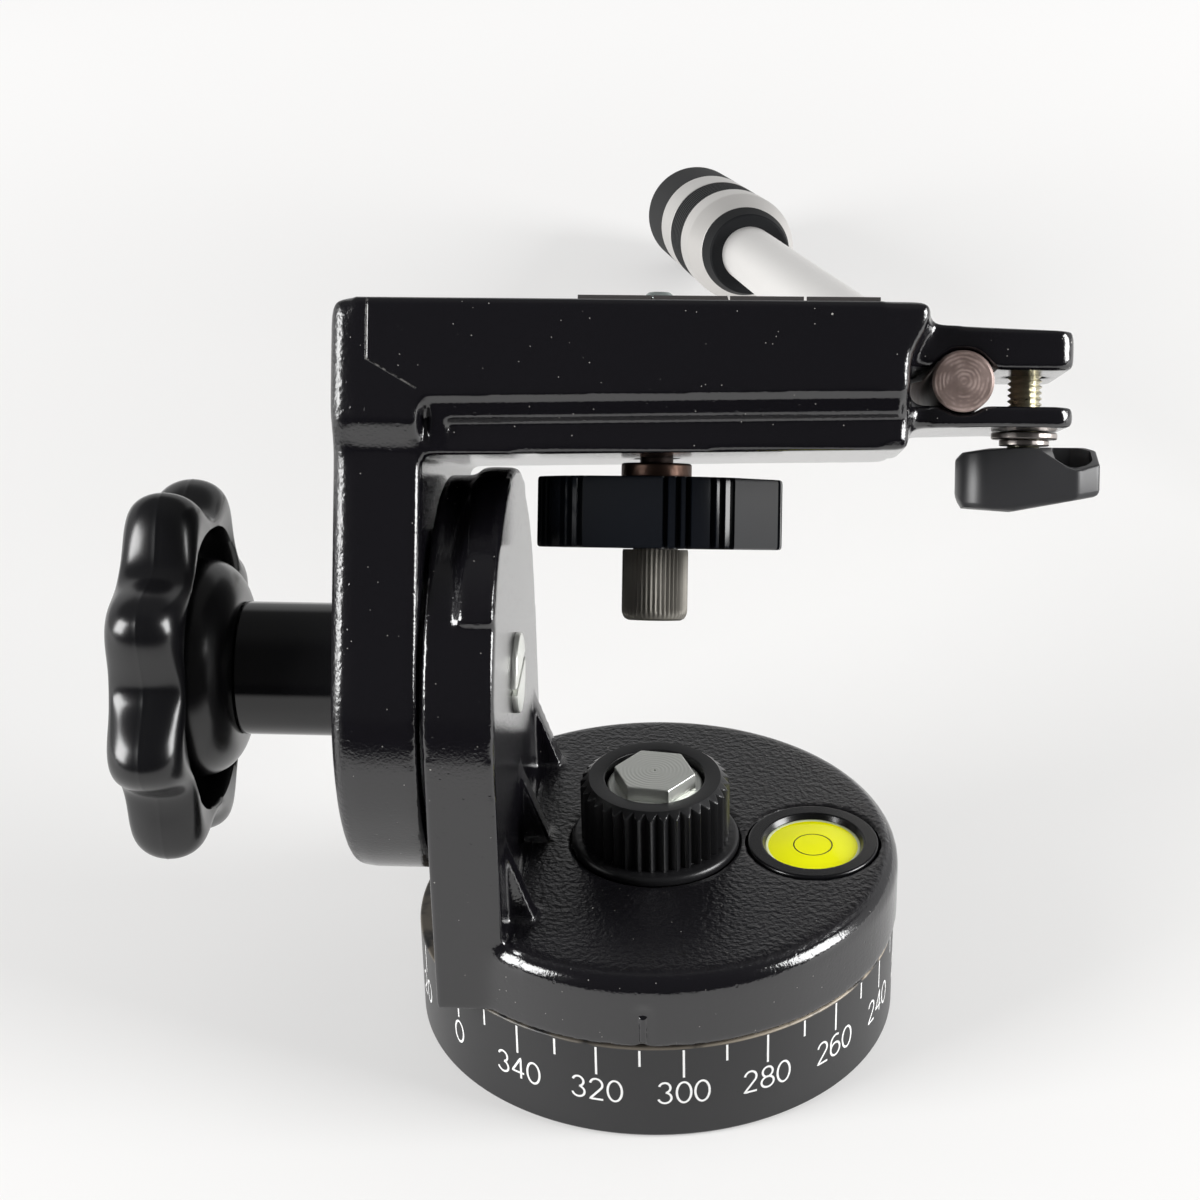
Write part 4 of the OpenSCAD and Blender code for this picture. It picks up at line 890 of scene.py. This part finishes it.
# the first point on an outline's right-hand end, where both outlines are made to start
def rightEnd(points, right):
    return int(np.argmax(points[:, 0] > right - 0.05))


planRing = around(rounded(np.stack([wing["planX"], wing["planY"]], -1), wing["planRounds"], 12, True))
holeRing = around(rounded(np.stack([wing["holeX"], wing["holeY"]], -1), wing["holeRound"], 6, True))
shift = rightEnd(planRing, wing["planX"][0]) - rightEnd(holeRing, wing["holeX"][0])
holeRing = np.roll(holeRing, shift, axis=0)


def wingLow(points):
    return np.interp(points[:, 0], *wing["low"])


# the front wall falls to the right of the screw, the back wall stays high; between them the height follows y
def wingTop(points):
    front, back = np.interp(points[:, 0], *wing["front"]), np.interp(points[:, 0], *wing["back"])
    start, depth = wing["frontY"]
    return front + (back - front) * np.clip((points[:, 1] - start) / depth, 0, 1)


def inset(points, distance):
    return points - distance * points / np.linalg.norm(points, axis=1)[:, None]


rows = []
for distance, rise in wing["lowEdge"]:
    shrunk = inset(planRing, distance)
    rows.append(atHeight(shrunk, wingLow(shrunk) + rise))
for distance, drop in wing["topEdge"]:
    shrunk = inset(planRing, distance)
    rows.append(atHeight(shrunk, wingTop(shrunk) - drop))
for t in np.linspace(0, 1, 9)[1:]:
    between = shrunk + (holeRing - shrunk) * t
    rows.append(atHeight(between, wingTop(between)))
rows += [atHeight(inset(holeRing, wing["draft"]), h) for h in wing["pocket"]]
shrunk = wing["middle"] + (holeRing - wing["middle"]) * wing["middleShare"]
rows.append(atHeight(shrunk, wing["pocket"][-1]))
makePiece("clampWing", loft(rows), clampAt, "lever", "moulded_black", ["clamp_lever"], 32, "wing")
print("clamp made")

# pan bar: a rod along a straight, an arc and a straight; the tube and the grip turn about its last straight
rodSet = {"radius": 5.1, "front": -30.5, "tail": 46.0, "face": (0.001, 1.0, 4.3, 4.7), "chamfer": 0.35}
run = np.linspace(rodSet["front"], bar["bend"] - bendLead, 24)
straight = np.stack([np.full_like(run, bar["x"]), run, np.full_like(run, bar["n"])], -1)
w = np.linspace(0, bar["angle"], 16)[1:]
bend = np.stack([np.zeros_like(w), bar["radius"] * np.sin(w), bar["radius"] * (1 - np.cos(w))], -1)
bend = bend @ turnY(bar["roll"]).T + [bar["x"], bar["bend"] - bendLead, bar["n"]]
out = turnY(bar["roll"]) @ np.array([0, math.cos(bar["angle"]), math.sin(bar["angle"])])
tail = bend[-1] + out * np.linspace(0, rodSet["tail"], 12)[1:, None]
path = np.concatenate([straight, bend, tail])
tangent = np.gradient(path, axis=0)
tangent /= np.linalg.norm(tangent, axis=1)[:, None]
side = np.cross(tangent, turnY(bar["roll"]) @ np.array([1.0, 0, 0]))
side /= np.linalg.norm(side, axis=1)[:, None]
other = np.cross(tangent, side)
t = turns(64)[:, None]


# a circle across the rod's path at its point k
def rodRing(k, radius, ahead=0.0):
    return path[k] + tangent[k] * ahead + radius * (np.cos(t) * side[k] + np.sin(t) * other[k])


rows = [rodRing(0, r) for r in rodSet["face"]] + [rodRing(0, rodSet["radius"], rodSet["chamfer"])]
rows += [rodRing(k, rodSet["radius"]) for k in range(1, len(path))]
makePiece("panRod", loft(rows), arm, "pan_bar", "bare_steel", ["bar_rod"])

# the turned pieces of the bar: node, own finish, slot, closed profile of radius and length, corners' radii
grip = {"start": 252 - bendLead, "bore": 7.55, "radius": 14.9, "lengths": (24, 24, 22, 37), "ribs": 8,
        "rib": ((14.25, 0.05), (14.85, 0.5), (14.85, 2.5), (14.25, 2.95))}
s0, s1, s2, s3, s4 = grip["start"] + np.cumsum([0, *grip["lengths"]])
bore, full = grip["bore"], grip["radius"]
ribs = [[r, low + rise] for low in np.linspace(s1, s2, grip["ribs"] + 1)[:-1] for r, rise in grip["rib"]]
turned = {
    "rodPlug": ("bar_plug", None, "satin_black",
                [[5.13, 13], [7.45, 13], [7.45, 16], [6.2, 16], [6.2, 49], [5.13, 49]], [0, .8, 0, 0, .3, 0]),
    "panTube": ("bar_tube", None, "tube_silver", [[6.3, 16.05], [7.5, 16.05], [7.5, s3], [6.3, s3]], .2),
    "gripRing": ("grip_ring", "grip", "satin_black",
                 [[bore, s0 - 8], [10.8, s0 - 8], [12.05, s0 - 1], [12.05, s0], [bore, s0]],
                 [0, .7, 2, .1, 0]),
    "gripFront": ("grip_band_front", "band", "tube_silver",
                  [[bore, s0], [12.1, s0], [full, s0 + 9.6], [full, s1], [bore, s1]], [0, .1, 6, .4, 0]),
    "gripRear": ("grip_band_rear", "band", "tube_silver",
                 [[bore, s2], [full, s2], [full, s3], [bore, s3]], [0, .4, .4, 0]),
    "gripCap": ("grip_cap", "grip", "satin_black",
                [[0.001, s3], [full, s3], [full, s4], [0.001, s4]], [0, .5, 4, 0]),
    "gripSleeve": ("grip_sleeve", "grip", "satin_black", [[bore, s1]] + ribs + [[bore, s2]], .25),
}
for name, (node, finish, slotName, profile, rounds) in turned.items():
    shape = lathe(rounded(profile, rounds, 6, True), 128, True)
    makePiece(name, shape, barAxis, "pan_bar", slotName, [node], finish=finish)
print("pan bar made")

# CAD pieces that stay as they are get small round edges
plain = {"nodes": ("platform_pads", "tripod_bush"), "width": 0.2, "segments": 2, "angle": 40}
for name in plain["nodes"]:
    soft = nodes[name].modifiers.new("edges", "BEVEL")
    soft.width, soft.segments = plain["width"] * 0.001, plain["segments"]
    soft.limit_method, soft.angle_limit = "ANGLE", math.radians(plain["angle"])

# stage: a white table whose front is dark to reflections, as the room behind the camera is
stage = {"floor": (0.46, 0.456, 0.45), "white": (1, 0.995, 0.99, 1), "dark": (0.02, 0.02, 0.022, 1),
         "rough": 0.75, "half": 6, "glow": 0.40, "far": 0.2, "reach": (0.2, 0.75),
         "tableFront": (-0.26, -0.15), "side": 19.0, "box": (0.6, 0.7),
         "leftBox": (-1.03, -0.55, 0.47), "rightBox": (1.12, -0.2, 0.48), "aim": (0, 0.03, 0.07)}
floorMesh = bpy.data.meshes.new("table")
corners = np.array([[-1, -1, 0], [1, -1, 0], [1, 1, 0], [-1, 1, 0]]) * stage["half"]
floorMesh.from_pydata(corners.tolist(), [], [[0, 1, 2, 3]])
table = bpy.data.objects.new("table", floorMesh)
bpy.context.scene.collection.objects.link(table)
white, shader, at = newMaterial("tableWhite", stage["floor"], stage["rough"])
floorMesh.materials.append(white)
seen, glossy = (at.use("ShaderNodeLightPath", out=k) for k in (0, 3))
far = at.use("ShaderNodeVectorMath", out=1, operation="LENGTH", i0=at).step(*stage["reach"])
front = 1 - at.xyz()[1].step(*stage["tableFront"])
power = (seen + glossy) * (stage["glow"] + far * stage["far"])
glow = at.use("ShaderNodeEmission", i0=stage["white"], i1=power)
lit = at.use("ShaderNodeAddShader", i0=Wire(white.node_tree, shader.outputs[0]), i1=glow)
dark = at.use("ShaderNodeEmission", i0=stage["dark"], i1=1.0)
mixed = at.use("ShaderNodeMixShader", i0=front * glossy, i1=lit, i2=dark)
at.feed(white.node_tree.nodes["Material Output"].inputs[0], mixed)

for name in ("leftBox", "rightBox"):
    light = bpy.data.lights.new(name, "AREA")
    light.shape, light.energy = "RECTANGLE", stage["side"]
    light.size, light.size_y = stage["box"]
    lamp = bpy.data.objects.new(name, light)
    bpy.context.scene.collection.objects.link(lamp)
    lamp.location = stage[name]
    lamp.rotation_euler = (Vector(stage["aim"]) - Vector(stage[name])).to_track_quat("-Z", "Y").to_euler()

# the world is white to the camera, dim in front and above, and fills from behind
sky = {"dim": 0.05, "fill": 0.5, "behind": (-0.55, 0.1), "high": (0.42, 0.62), "highLoss": 0.85}
world = bpy.data.worlds.new("studio")
bpy.context.scene.world = world
world.use_nodes = True
way = Wire(world.node_tree, world.node_tree.nodes.new("ShaderNodeTexCoord").outputs["Generated"])
seen, glossy = (way.use("ShaderNodeLightPath", out=k) for k in (0, 3))
wayY, wayZ = way.xyz()[1:]
loss = glossy * wayZ.step(*sky["high"]) * sky["highLoss"]
strength = seen + (1 - seen) * (sky["dim"] + wayY.step(*sky["behind"]) * sky["fill"] * (1 - loss))
background = world.node_tree.nodes["Background"]
background.inputs[0].default_value = (1, 1, 1, 1)
way.feed(background.inputs[1], strength)

# camera fitted to the photograph
cam = {"at": (0.02702, -0.42024, 0.30778), "yaw": 4.93, "pitch": 28.01, "roll": -1.34, "lens": 81.53,
       "sensor": 36.0, "clip": (0.02, 50)}
yaw, pitch, roll = (math.radians(cam[k]) for k in ("yaw", "pitch", "roll"))
ahead = np.array([-math.sin(yaw) * math.cos(pitch), math.cos(yaw) * math.cos(pitch), -math.sin(pitch)])
right = np.array([math.cos(yaw), math.sin(yaw), 0])
up = np.cross(right, ahead)
right, up = math.cos(roll) * right + math.sin(roll) * up, math.cos(roll) * up - math.sin(roll) * right
lens = bpy.data.cameras.new("camera")
lens.lens, lens.sensor_width = cam["lens"], cam["sensor"]
lens.clip_start, lens.clip_end = cam["clip"]
eye = bpy.data.objects.new("camera", lens)
bpy.context.scene.collection.objects.link(eye)
view = np.eye(4)
view[:3] = np.stack([right, up, -ahead, cam["at"]], -1)
eye.matrix_world = Matrix(view.tolist())
bpy.context.scene.camera = eye
bpy.context.scene.view_settings.view_transform = "Standard"
print("stage made")
